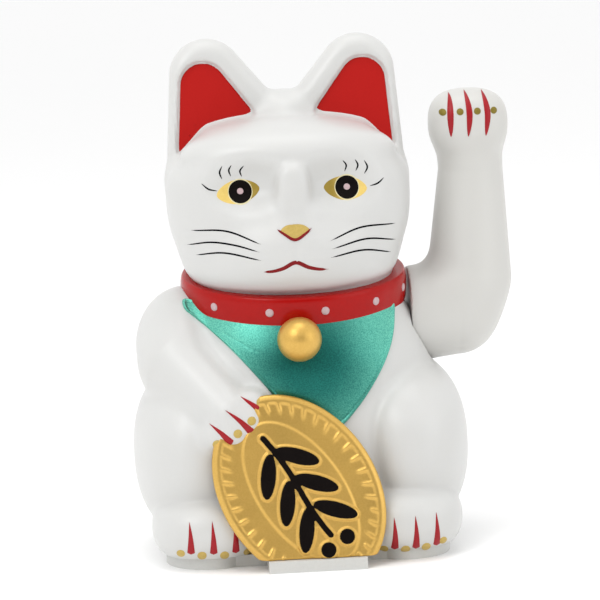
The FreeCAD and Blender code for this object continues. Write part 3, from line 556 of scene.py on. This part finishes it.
CLAW_RED = node_material("claw_paint", (0.40, 0.014, 0.022), 0.35, second=(0.24, 0.006, 0.010),
                         grain=900, grain_mix=0.35, blotch=120, blotch_mix=0.6, bump=0.00002,
                         specular=0.25)
MOUTH_RED = node_material("lip_paint", (0.24, 0.010, 0.012), 0.45, second=(0.14, 0.004, 0.006),
                          grain=1200, grain_mix=0.35, blotch=150, blotch_mix=0.5,
                          bump=0.00002, specular=0.15)
GOLD = node_material("gold_paint", (0.72, 0.46, 0.12), 0.36, metallic=0.65, specular=0.4,
                     second=(0.56, 0.32, 0.06), grain=1500, grain_mix=0.35, blotch=55,
                     blotch_mix=0.35, bump=0.00003)
GOLD_DOT = node_material("dot_paint", (0.62, 0.45, 0.14), 0.5, metallic=0.2,
                         second=(0.42, 0.30, 0.07), grain=1200, grain_mix=0.4, blotch=200,
                         blotch_mix=0.5, bump=0.00003, specular=0.2)
OLIVE_DOT = node_material("olive_paint", (0.26, 0.20, 0.035), 0.5, metallic=0.2,
                          second=(0.16, 0.12, 0.02), grain=1200, grain_mix=0.4, blotch=200,
                          blotch_mix=0.5, bump=0.00003, specular=0.2)
# painted shade: the bib's teal is darkened round its middle below the bell, standing in for the
# dark reflection its metallic face shows there
TEAL = node_material("bib_pearl", (0.20, 0.66, 0.50), 0.36, metallic=0.70,
                     second=(0.03, 0.30, 0.25), grain=2300, grain_mix=0.75, blotch=45,
                     blotch_mix=0.25, bump=0.00005, contrast=(0.40, 0.62),
                     fade=((0.003, -0.044, 0.074), 0.008, 0.040, (0.05, 0.27, 0.29)))
BLACK = node_material("black_paint_coat", (0.003, 0.002, 0.002), 0.45, specular=0.06,
                      second=(0.009, 0.006, 0.005), grain=1200, grain_mix=0.4, blotch=120,
                      blotch_mix=0.4, bump=0.00002)
LINE_BLACK = node_material("line_paint", (0.002, 0.002, 0.003), 0.6, second=(0.008, 0.008, 0.01),
                           grain=1400, grain_mix=0.3, blotch=200, blotch_mix=0.4,
                           bump=0.00001, specular=0.02)
PEARL = node_material("pearl_dot", (0.58, 0.42, 0.43), 0.35, coat=0.2, second=(0.38, 0.27, 0.28),
                      grain=1600, grain_mix=0.4, blotch=300, blotch_mix=0.4, bump=0.00002)
# painted highlight: a pale ring round each black iris, for the light caught on its raised rim
IRIS_RIM_HIGHLIGHT = node_material("cream_ring", (0.78, 0.72, 0.45), 0.4, second=(0.6, 0.5, 0.25),
                      grain=1600, grain_mix=0.3, blotch=200, blotch_mix=0.4, bump=0.00001)
PLATE_GREY = node_material("base_plastic", (0.62, 0.62, 0.60), 0.5, second=(0.53, 0.53, 0.50),
                           grain=1100, grain_mix=0.3, blotch=40, blotch_mix=0.3,
                           bump=0.00004)
# painted shade: the eye yellow darkens to olive towards the nose, at the eyes' inner corners
EYE = node_material("eye_paint", (0.82, 0.62, 0.20), 0.45, metallic=0.1,
                    second=(0.68, 0.46, 0.10), grain=1300, grain_mix=0.3, blotch=180,
                    blotch_mix=0.5, bump=0.00002, specular=0.2,
                    fade=((-0.001, -0.037, 0.138), 0.0145, 0.0215, (0.42, 0.40, 0.22)))
INSIDE = {
    "battery_jacket": node_material("cell_jacket", (0.05, 0.09, 0.20), 0.3, coat=0.4,
                                    second=(0.12, 0.20, 0.36), grain=500, blotch=20,
                                    stretch=(1, 0.05, 1)),
    "contact_metal": node_material("nickel_plate", (0.62, 0.60, 0.55), 0.28, metallic=1.0,
                                   second=(0.45, 0.43, 0.38), grain=1500, blotch=90),
    "frame_plastic": node_material("acetal", (0.62, 0.62, 0.60), 0.45, second=(0.5, 0.5, 0.48),
                                   grain=900, blotch=30, bump=0.00004),
    "steel_parts": node_material("zinc_steel", (0.50, 0.51, 0.53), 0.30, metallic=1.0,
                                 second=(0.32, 0.33, 0.35), grain=1300, blotch=60,
                                 stretch=(1, 1, 0.08)),
    "copper_wire": node_material("enamelled_copper", (0.55, 0.20, 0.08), 0.32, metallic=0.9,
                                 second=(0.30, 0.09, 0.03), grain=2600, grain_mix=0.6,
                                 blotch=50, bump=0.00006, stretch=(0.1, 0.1, 1)),
    "board_green": node_material("solder_mask", (0.02, 0.17, 0.06), 0.32, coat=0.3,
                                 second=(0.01, 0.09, 0.03), grain=600, blotch=90),
    "chip_black": node_material("moulded_epoxy", (0.02, 0.02, 0.022), 0.55,
                                second=(0.05, 0.05, 0.05), grain=1500, blotch=80,
                                bump=0.00003),
    "lead_red": node_material("red_insulation", (0.40, 0.02, 0.02), 0.4,
                              second=(0.25, 0.01, 0.01), grain=900, blotch=60),
    "magnet_metal": node_material("magnet_nickel", (0.55, 0.55, 0.56), 0.22, metallic=1.0,
                                  second=(0.38, 0.38, 0.40), grain=1500, blotch=100),
    "base_grey": PLATE_GREY,
}


def piece_of(made, body_name, material, replaced=(), crisp=40.0):
    """Finish a piece: its material, shading, body and the CAD node it stands for."""
    made.data.materials.clear()
    made.data.materials.append(material)
    made.data.polygons.foreach_set("use_smooth", [True] * len(made.data.polygons))
    made.data.set_sharp_from_angle(angle=math.radians(crisp))
    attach(made, body_name)
    if replaced:
        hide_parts(*replaced)
    return made


# ------------------------------------------------------------------ shells

def closed_shell(name, f, wall, low, high, step, inner_step, solid):
    """A hollow form: the outer skin less the same field moved inwards."""
    outer = skin_of(name, f, low, high, step)
    inner = skin_of(name + "_room", lambda p: np.maximum(f(p) + wall, -solid(p)), low, high,
                    inner_step, halve=False)
    boolean(outer, "DIFFERENCE", inner)
    drop(inner)
    return outer


def seat(p):
    """Solid plastic behind the arm's recess."""
    return np.maximum(length(p[1] - AXIS_Y, p[2] - AXIS_Z) - PORT_R - 1.8,
                      PORT_X - SHELL_WALL - p[0])


whole = closed_shell("cat_whole", body, SHELL_WALL, (-72, -68, -6), (72, 60, 210), 0.9, 2.2, seat)
tools = [drum("port", PORT_X, 95, PORT_R), drum("axle_way", 30, 60, 3.5),
         block("under", (-99, -99, -30), (99, 99, FLOOR_Z))]
boolean(whole, "DIFFERENCE", *tools)
drop(*tools)
back_part = copy_of(whole, "cat_back_shell")
whole.name = "cat_front_shell"
front_half = block("front_half", (-99, -99, -30), (99, SEAM_Y - SEAM_GAP, 250))
back_half = block("back_half", (-99, SEAM_Y + SEAM_GAP, -30), (99, 99, 250))
boolean(whole, "INTERSECT", front_half)
boolean(back_part, "INTERSECT", back_half)
drop(front_half, back_half)
piece_of(whole, "figure", WHITE, ["front_shell"])
piece_of(back_part, "figure", WHITE, ["back_shell"])


def arm_closed(p):
    return smax(arm(p), 43.7 - p[0], 0.6)


arm_whole = closed_shell("raised_arm_front", arm_closed, ARM_WALL, (38, -24, 68), (92, 30, 186),
                         0.8, 1.8, lambda p: np.full(np.shape(p[0]), 1e3))
arm_back = copy_of(arm_whole, "raised_arm_back")
halves = [block("arm_front_half", (0, -99, 0), (120, AXIS_Y - SEAM_GAP, 250)),
          block("arm_back_half", (0, AXIS_Y + SEAM_GAP, 0), (120, 99, 250))]
boolean(arm_whole, "INTERSECT", halves[0])
boolean(arm_back, "INTERSECT", halves[1])
drop(*halves)
piece_of(arm_whole, "waving_arm", ARM_WHITE, ["arm_front"])
piece_of(arm_back, "waving_arm", ARM_WHITE, ["arm_back"])

# ------------------------------------------------------------------ collar, bell, bib

COLLAR_TILT = math.radians(10.0)
COLLAR_HIGH, COLLAR_W, COLLAR_D = 12.4, 43.0, 38.8
COLLAR_AT = (0.0, -2.0, 105.7)


def on_collar(angle, out, up):
    """A point of the collar: angle from the front, distance out of its oval, height along it."""
    x = (COLLAR_W + out) * np.sin(angle)
    y = -(COLLAR_D + out) * np.cos(angle)
    z = up
    c, s = math.cos(COLLAR_TILT), math.sin(COLLAR_TILT)
    return np.stack(np.broadcast_arrays(x + COLLAR_AT[0], y * c - z * s + COLLAR_AT[1],
                                        y * s + z * c + COLLAR_AT[2]), -1)


turns = np.linspace(0, 2 * math.pi, 360, endpoint=False)[:, None]
section = []
for k in range(28):                       # rounded outer face, then down the inside
    a = -math.pi / 2 + math.pi * k / 27
    section.append((1.5 * np.sign(math.cos(a)) * abs(math.cos(a)) ** 0.7 - 1.5,
                    COLLAR_HIGH / 2 * np.sign(math.sin(a)) * abs(math.sin(a)) ** 0.75))
section += [(-7.0, COLLAR_HIGH / 2 - 0.2), (-7.0, -COLLAR_HIGH / 2 + 0.2)]
section = np.array(section)
ring = on_collar(turns, section[None, :, 0], section[None, :, 1])
band_faces = grid_faces(360, len(section), around=True)
last = 359 * len(section)
for j in range(len(section)):
    n = (j + 1) % len(section)
    band_faces.append((last + j, j, n, last + n))
collar = mesh_object("collar_band", ring.reshape(-1, 3), band_faces)
piece_of(collar, "figure", RED_GLOSS, ["collar"], crisp=50)


def dome(make, radius, high, count=18):
    """A closed round button; make(u, v, up) gives its point."""
    angle, rho = disc_grid(count)
    u, v = rho * radius * np.cos(angle), rho * radius * np.sin(angle)
    return sheet(make(u, v, high * np.sqrt(np.maximum(1 - rho ** 2, 0)) + 0.05),
                 make(u, v, -0.4 + 0 * rho))


studs = []
for around in np.radians((-47, -15.5, 12.3, 42, 71, 100, 129, 158, 187, 216, 245, 280)):
    speed = math.hypot(COLLAR_W * math.cos(around), COLLAR_D * math.sin(around))
    studs.append(dome(lambda u, v, up, a=around, w=speed: on_collar(a + u / w, up, v + 0.9),
                      1.55, 0.5))
piece_of(joined("collar_studs", studs), "figure", PEARL)

# the bell: a turned ball with its two halves just showing, set against the collar
BELL = np.array((-1.2, -45.0, 90.6))
BELL_R = 8.2
profile = [(0.0, -BELL_R)]
for k in range(1, 30):
    a = -math.pi / 2 + math.pi * k / 31
    swell = 1 + 0.006 * math.exp(-(a / 0.05) ** 2)
    profile.append((BELL_R * math.cos(a) * swell, BELL_R * math.sin(a)))
profile.append((0.0, BELL_R))
rows = np.array(profile[1:-1])
spin = np.linspace(0, 2 * math.pi, 72, endpoint=False)
ball = np.stack([rows[:, :1] * np.cos(spin), rows[:, :1] * np.sin(spin),
                 np.repeat(rows[:, 1:], 72, 1)], -1).reshape(-1, 3)
ball = np.concatenate([ball, [(0, 0, profile[0][1]), (0, 0, profile[-1][1])]]) + BELL
bell_faces = grid_faces(len(rows), 72, around=True)
south, north, top_row = len(ball) - 2, len(ball) - 1, (len(rows) - 1) * 72
for k in range(72):
    n = (k + 1) % 72
    bell_faces += [(k, n, south), (top_row + n, top_row + k, north)]
piece_of(mesh_object("bell_ball", ball, bell_faces), "figure", GOLD, ["bell"],
         crisp=60)

BIB_EDGE = [(-43.0, 103.4), (-42.6, 101.2), (-38.6, 97.6), (-32.5, 92.6), (-23.0, 83.4),
            (-17.6, 77.2), (-12.7, 71.2), (-6, 62), (0, 56.5), (6, 54.5), (13, 57.0),
            (20.0, 63.6), (26.2, 71.6), (31.0, 79.4), (34.4, 87.0), (36.0, 94.4), (36.2, 99.5),
            (34.6, 102.0), (20, 99.2), (0, 97.8), (-22, 99.4), (-38, 103.0)]


def bib_height(rho, edge):
    """Field of the bib with a thin raised lip, rounded down at its rim."""
    lip = np.exp(-((edge - 1.0) / 0.55) ** 2)
    return (0.75 + 0.45 * lip) * ramp(edge, -0.05, 0.5) - 0.1


bib_inside, bib_middle = polygon(BIB_EDGE)
bib = joined("bib_panel", [blob(body, bib_inside, bib_middle, 170, bib_height, 0.6)])
piece_of(bib, "figure", TEAL, ["bib"], crisp=60)

# ------------------------------------------------------------------ coin

COIN = (Matrix.Translation((-4.0, -50.4, 28.6))
        @ Matrix.Rotation(math.radians(79), 4, "X") @ Matrix.Rotation(math.radians(-57), 4, "Z"))
COIN_ROWS = np.array([list(row)[:3] for row in COIN])[:3]
COIN_AT = np.array(COIN.translation)
COIN_LONG, COIN_SHORT = 38.0, 28.4
RIDGES = 38
COIN_FOOT = 4.45         # height of the flat it stands on, over the table


def flat_oval(x, y, cx, cy, a, b, turn=0.0):
    """Signed distance, nearly, to an ellipse in the coin's plane."""
    c, s = math.cos(math.radians(turn)), math.sin(math.radians(turn))
    u, v = (x - cx) * c + (y - cy) * s, (y - cy) * c - (x - cx) * s
    k = length(u / a, v / b) + 1e-9
    return k * (k - 1) / np.maximum(length(u / (a * a), v / (b * b)), 1e-4)


def sprig(x, y):
    """The emblem's outline: a stem with three pairs of leaves and two berries."""
    d = length(x - np.clip(x, -23, 20), y + 0.8 * np.sin(x * 0.13)) - 1.15
    for sign in (-1, 1):
        for along in (-10.5, 1.5, 13.5):
            leaf = flat_oval(x, y, along, sign * 6.5, 8.4, 2.9, sign * 40)
            d = smin(d, leaf, 0.8)
        d = smin(d, length(x - 24.0, y - sign * 4.2) - 2.9, 0.6)
    return d


def coin_height(x, y):
    """Height of the coin's face: rim, short ridges, raised oval field, emblem's walls."""
    rim = flat_oval(x, y, 0, 0, COIN_LONG, COIN_SHORT)
    sprig_d = sprig(x, y)
    height = 3.9 + 0.5 * ramp(-rim, 0.4, 2.2) - 0.35 * ramp(-rim, 2.5, 4.0)
    field = flat_oval(x, y, 1.0, 0, 29.5, 15.5)
    height = height + 0.50 * ramp(-field, -0.6, 0.6)
    height = height + 0.55 * ramp(-sprig_d, -0.85, -0.45)
    around = np.arctan2(y * COIN_LONG, x * COIN_SHORT)
    mark = np.cos(around * RIDGES)
    ridge = np.exp(-((1 - mark) / 0.30)) * ramp(-rim, 2.4, 4.0) * ramp(rim, -8.4, -4.5)
    return height + 0.60 * ridge * ramp(sprig_d, 3.4, 4.4)


def coin_solid(p):
    x, y, z = p
    rim = flat_oval(x, y, 0, 0, COIN_LONG, COIN_SHORT)
    d = smax(rim, z - coin_height(x, y), 1.4)
    d = smax(d, -z, 0.6)
    world = COIN_ROWS[2][0] * x + COIN_ROWS[2][1] * y + COIN_ROWS[2][2] * z + COIN_AT[2]
    return smax(d, COIN_FOOT - world, 0.8)


def emblem_solid(p):
    x, y, z = p
    top = coin_height(x, y) + 0.12
    return smax(smax(sprig(x, y) + 0.05, z - top, 0.25), 3.4 - z, 0.2)


def stand_up(piece):
    piece.data.transform(Matrix.Translation(COIN_AT * MM) @ COIN.to_3x3().to_4x4())
    return piece


coin = stand_up(skin_of("coin_plate", coin_solid, (-41, -32, -2), (41, 32, 7), 0.42,
                        halve=False, datum=0.0))
piece_of(coin, "figure", GOLD, ["coin"], crisp=70)
emblem = stand_up(skin_of("coin_sprig", emblem_solid, (-30, -18, 2.4), (30, 18, 7), 0.36,
                          halve=False, datum=0.0))
piece_of(emblem, "figure", BLACK, ["coin_emblem"], crisp=50)

# ------------------------------------------------------------------ painted face

def spindle(t):
    return np.sin(np.pi * np.clip(t, 0, 1)) ** 0.6


def whisker(t):
    return (0.35 + 0.65 * np.sin(np.pi * t) ** 0.5) * ramp(t, 0, 0.06) * ramp(1 - t, 0, 0.10)


def wedge(t):
    """Wide at the start, drawn out to a point."""
    return (1 - t) ** 0.8 * ramp(t, -0.02, 0.05)


def flat_paint(proud):
    return lambda rho, edge: proud * ramp(edge, -0.02, 0.12) + 0.01


WHISKERS = [
    [(-38.6, 131.1), (-26.1, 130.9), (-13.9, 126.1)],
    [(-40.2, 125.4), (-32.2, 126.7), (-22.8, 125.7), (-14.6, 123.3)],
    [(-37.1, 121.7), (-28.1, 122.9), (-14.0, 120.2)],
    [(37.2, 130.2), (22.8, 130.0), (11.8, 126.3)],
    [(37.3, 123.9), (25.8, 125.7), (12.4, 123.3)],
    [(35.3, 119.4), (24.5, 121.7), (11.6, 120.1)]]
LASHES = [
    [(-26.5, 154.8), (-27.5, 152.4), (-26.7, 149.8)],
    [(-23.1, 155.0), (-24.1, 153.1), (-23.4, 150.7)],
    [(-18.6, 154.6), (-20.0, 152.6), (-19.4, 150.4)],
    [(-34.3, 148.5), (-31.8, 146.4), (-28.6, 145.6)],
    [(17.9, 155.0), (19.2, 153.0), (18.6, 150.7)],
    [(22.5, 155.1), (23.5, 152.9), (22.7, 150.7)],
    [(25.9, 154.6), (27.0, 152.0), (25.8, 149.5)],
    [(33.1, 147.7), (30.6, 145.8), (27.7, 145.0)]]
piece_of(joined("whiskers", [stroke(body, pts, 0.66, whisker) for pts in WHISKERS]),
         "figure", LINE_BLACK)
piece_of(joined("eyelashes", [stroke(body, pts, 0.62, spindle, 0.08, 24) for pts in LASHES]),
         "figure", LINE_BLACK)

EYES = [((-21.0, 145.0), -20.2, 145.0, 8.0), ((18.6, 144.7), 19.2, 144.9, -4.0)]
eyes, rim_highlights, irises, glints = [], [], [], []
for middle, iris_x, iris_z, tilt in EYES:
    eyes.append(blob(body, oval(middle, 8.0, 4.4, 1.7, tilt), middle, 44, flat_paint(0.10)))
    at = (iris_x, iris_z)
    # painted highlight: a pale ring just outside the iris, for the light on its raised rim
    rim_highlights.append(blob(body, oval(at, 4.72, 4.72), at, 40, flat_paint(0.16)))
    irises.append(blob(body, oval(at, 4.3, 4.3), at, 40,
                       lambda rho, edge: 0.24 + 0.30 * (1 - rho ** 2)))
    glints.append(blob(body, oval(at, 1.2, 1.2), at, 20,
                       lambda rho, edge: 0.60 + 0.10 * (1 - rho ** 2)))
piece_of(joined("eye_whites", eyes), "figure", EYE)
piece_of(joined("iris_rings", rim_highlights), "figure", IRIS_RIM_HIGHLIGHT)
piece_of(joined("irises", irises), "figure", BLACK)
piece_of(joined("eye_glints", glints), "figure", PEARL)

nose_inside, nose_middle = polygon([(-6.3, 131.0), (-5.0, 132.2), (-1.3, 132.9), (2.6, 132.2),
                                    (4.0, 131.0), (1.6, 128.6), (-1.2, 126.9), (-3.8, 128.4)])
piece_of(joined("nose_cap", [blob(body, nose_inside, nose_middle, 36, flat_paint(0.22))]),
         "figure", GOLD_DOT)
NOSE_LINE = [(-7.6, 131.2), (-5.2, 129.5), (-1.4, 127.4), (2.6, 129.4), (4.9, 131.2)]
MOUTH = [(-13.2, 115.8), (-9.5, 116.0), (-6.2, 116.9), (-1.5, 119.0), (3.5, 116.9),
         (7.2, 116.0), (10.6, 115.8)]
piece_of(joined("nose_line", [stroke(body, NOSE_LINE, 1.15, whisker, 0.50, 48)]),
         "figure", MOUTH_RED)
piece_of(joined("mouth_line", [stroke(body, MOUTH, 1.5, whisker, 0.12, 64)]),
         "figure", MOUTH_RED)

LINING_TUCK = 1.2        # how far the lining runs on under the forehead


def ear_floor(p):
    """The bowl's floor alone, carried on past its walls."""
    middle, half = ear_front(p[2])
    return (middle - half + EAR_BOWL_DEPTH) - p[1]


def ear_inside(x, z):
    """Within the bowl and above the forehead, or just under it."""
    middle, half = ear_front(z)
    return np.maximum(triangle(x, z, EAR_BOWL) - 8.5,
                      -LINING_TUCK - forehead((x, middle - half + EAR_BOWL_DEPTH, z)))


ear_reds = [blob(ear_floor, lambda x, z, side=side: ear_inside(side * (x - HEAD_X), z),
                 (HEAD_X + side * 31.0, 174.0), 90, flat_paint(0.42)) for side in (-1, 1)]
piece_of(joined("ear_linings", ear_reds), "figure", RED_MATTE, crisp=60)

# ------------------------------------------------------------------ claws and dots

CLAWS = [[(-15.3, 63.9), (-19.3, 67.6), (-23.8, 70.9)],
         [(-20.0, 57.5), (-24.4, 62.3), (-29.7, 66.6)],
         [(-27.9, 54.2), (-31.6, 58.2), (-35.7, 61.6)]]
FOOT_CLAWS = [(-44.6, 13.9, 26.0), (-36.3, 13.6, 26.1), (-28.1, 13.4, 25.6),
              (30.6, 11.4, 24.0), (38.4, 11.4, 24.3), (46.3, 11.9, 24.8)]
claws = [stroke(body, pts, 2.9, wedge, 0.25) for pts in CLAWS]
claws += [stroke(body, [(x, low), (x + 0.1, (low + high) / 2), (x - 0.1, high)], 2.9, wedge, 0.22)
          for x, low, high in FOOT_CLAWS]
piece_of(joined("claws", claws), "figure", CLAW_RED)
DOTS = [(-16.6, 68.6, 1.5), (-20.3, 62.2, 1.6), (-25.6, 57.9, 1.6), (-33.2, 54.0, 1.7),
        (-48.3, 14.0, 1.5), (-40.6, 13.2, 1.7), (-32.3, 12.8, 1.7), (-23.6, 12.8, 1.6),
        (26.8, 11.2, 1.6), (34.6, 11.2, 1.7), (42.3, 11.8, 1.7), (48.8, 13.6, 1.5)]
piece_of(joined("paw_dots", [blob(body, oval((x, z), r, r), (x, z), 18,
                                  lambda rho, edge: 0.08 + 0.25 * (1 - rho ** 2))
                             for x, z, r in DOTS]), "figure", GOLD_DOT)
ARM_CLAWS = [[(61.2, 160.0), (61.2, 168.5), (61.6, 176.5)],
             [(67.6, 160.0), (68.3, 168.5), (67.4, 177.2)],
             [(74.3, 160.0), (75.2, 168.5), (74.0, 177.0)]]
piece_of(joined("raised_claws", [stroke(arm, pts, 2.3, spindle, 0.22) for pts in ARM_CLAWS]),
         "waving_arm", CLAW_RED)
piece_of(joined("raised_dots", [blob(arm, oval((x, 169.4), 1.3, 1.3), (x, 169.4), 18,
                                     lambda rho, edge: 0.08 + 0.3 * (1 - rho ** 2))
                                for x in (58.5, 64.8, 71.3, 77.7)]),
         "waving_arm", OLIVE_DOT)

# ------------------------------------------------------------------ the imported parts' finishes

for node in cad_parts.values():
    for k, holder in enumerate(node.material_slots):
        old = holder.material.name if holder.material else ""
        for slot_name, finish in INSIDE.items():
            if slot_name in old:
                holder.material = finish

# ------------------------------------------------------------------ floor, light, camera

floor_mesh = bpy.data.meshes.new("floor")
FLOOR_HALF = 60          # metres
corners = [(x * FLOOR_HALF, y * FLOOR_HALF, 0) for x, y in ((-1, -1), (1, -1), (1, 1), (-1, 1))]
floor_mesh.from_pydata(corners, [], [(0, 1, 2, 3)])
floor = bpy.data.objects.new("floor", floor_mesh)
bpy.context.scene.collection.objects.link(floor)
floor_mesh.materials.append(node_material("floor_paper", (0.98, 0.98, 0.98), 0.8,
                                          second=(0.95, 0.95, 0.95), grain=60, blotch=2,
                                          specular=0.1, bump=0.0))

world = bpy.data.worlds.new("studio")
bpy.context.scene.world = world
world.use_nodes = True
sky = world.node_tree
facing = sky.nodes.new("ShaderNodeTexCoord")
towards = sky.nodes.new("ShaderNodeVectorMath")
towards.operation = "DOT_PRODUCT"
towards.inputs[1].default_value = (0.05, -0.99, 0.10)
sky.links.new(facing.outputs["Generated"], towards.inputs[0])
fade = sky.nodes.new("ShaderNodeMapRange")
fade.interpolation_type = "SMOOTHSTEP"
fade.inputs["From Min"].default_value = 0.80
fade.inputs["From Max"].default_value = 0.985
fade.inputs["To Min"].default_value = 1.0
fade.inputs["To Max"].default_value = 0.15
sky.links.new(towards.outputs["Value"], fade.inputs["Value"])
sky.links.new(fade.outputs["Result"], sky.nodes["Background"].inputs["Strength"])
sky.nodes["Background"].inputs["Color"].default_value = (1.0, 1.0, 1.0, 1.0)

LIT = Vector((0, 0, 0.1))            # what the lamps point at
for place, size, watts in (((-0.70, -0.85, 1.10), 0.6, 5.2), ((0.95, -0.65, 0.45), 0.7, 1.2),
                           ((0.0, -0.1, 1.3), 0.7, 3.0)):
    lamp = bpy.data.lights.new("softbox", "AREA")
    lamp.size, lamp.energy = size, watts
    stand = bpy.data.objects.new("softbox", lamp)
    stand.location = place
    aim = LIT - Vector(place)
    stand.rotation_euler = aim.to_track_quat("-Z", "Y").to_euler()
    bpy.context.scene.collection.objects.link(stand)

AZIMUTH, ELEVATION, ROLL = math.radians(-3.5), math.radians(7.0), math.radians(-2.3)
TARGET, DISTANCE = Vector((0, 0, 0.1 - DATUM * MM)), 1.1
LENS, SENSOR, EXPOSURE = 172.8, 36.0, 0.02
SHIFT_X, SHIFT_Y = 0.0105, -0.0013
back = Vector((math.sin(AZIMUTH) * math.cos(ELEVATION),
               -math.cos(AZIMUTH) * math.cos(ELEVATION), math.sin(ELEVATION)))
lens = bpy.data.cameras.new("camera")
camera = bpy.data.objects.new("camera", lens)
bpy.context.scene.collection.objects.link(camera)
camera.location = TARGET + back * DISTANCE
camera.rotation_mode = "QUATERNION"
camera.rotation_quaternion = (-back).to_track_quat("-Z", "Y") @ Quaternion((0, 0, 1), ROLL)
lens.lens, lens.sensor_width = LENS, SENSOR
lens.shift_x, lens.shift_y = SHIFT_X, SHIFT_Y
lens.clip_end = 20.0
bpy.context.scene.camera = camera
bpy.context.scene.view_settings.view_transform = "Standard"
bpy.context.scene.view_settings.exposure = EXPOSURE
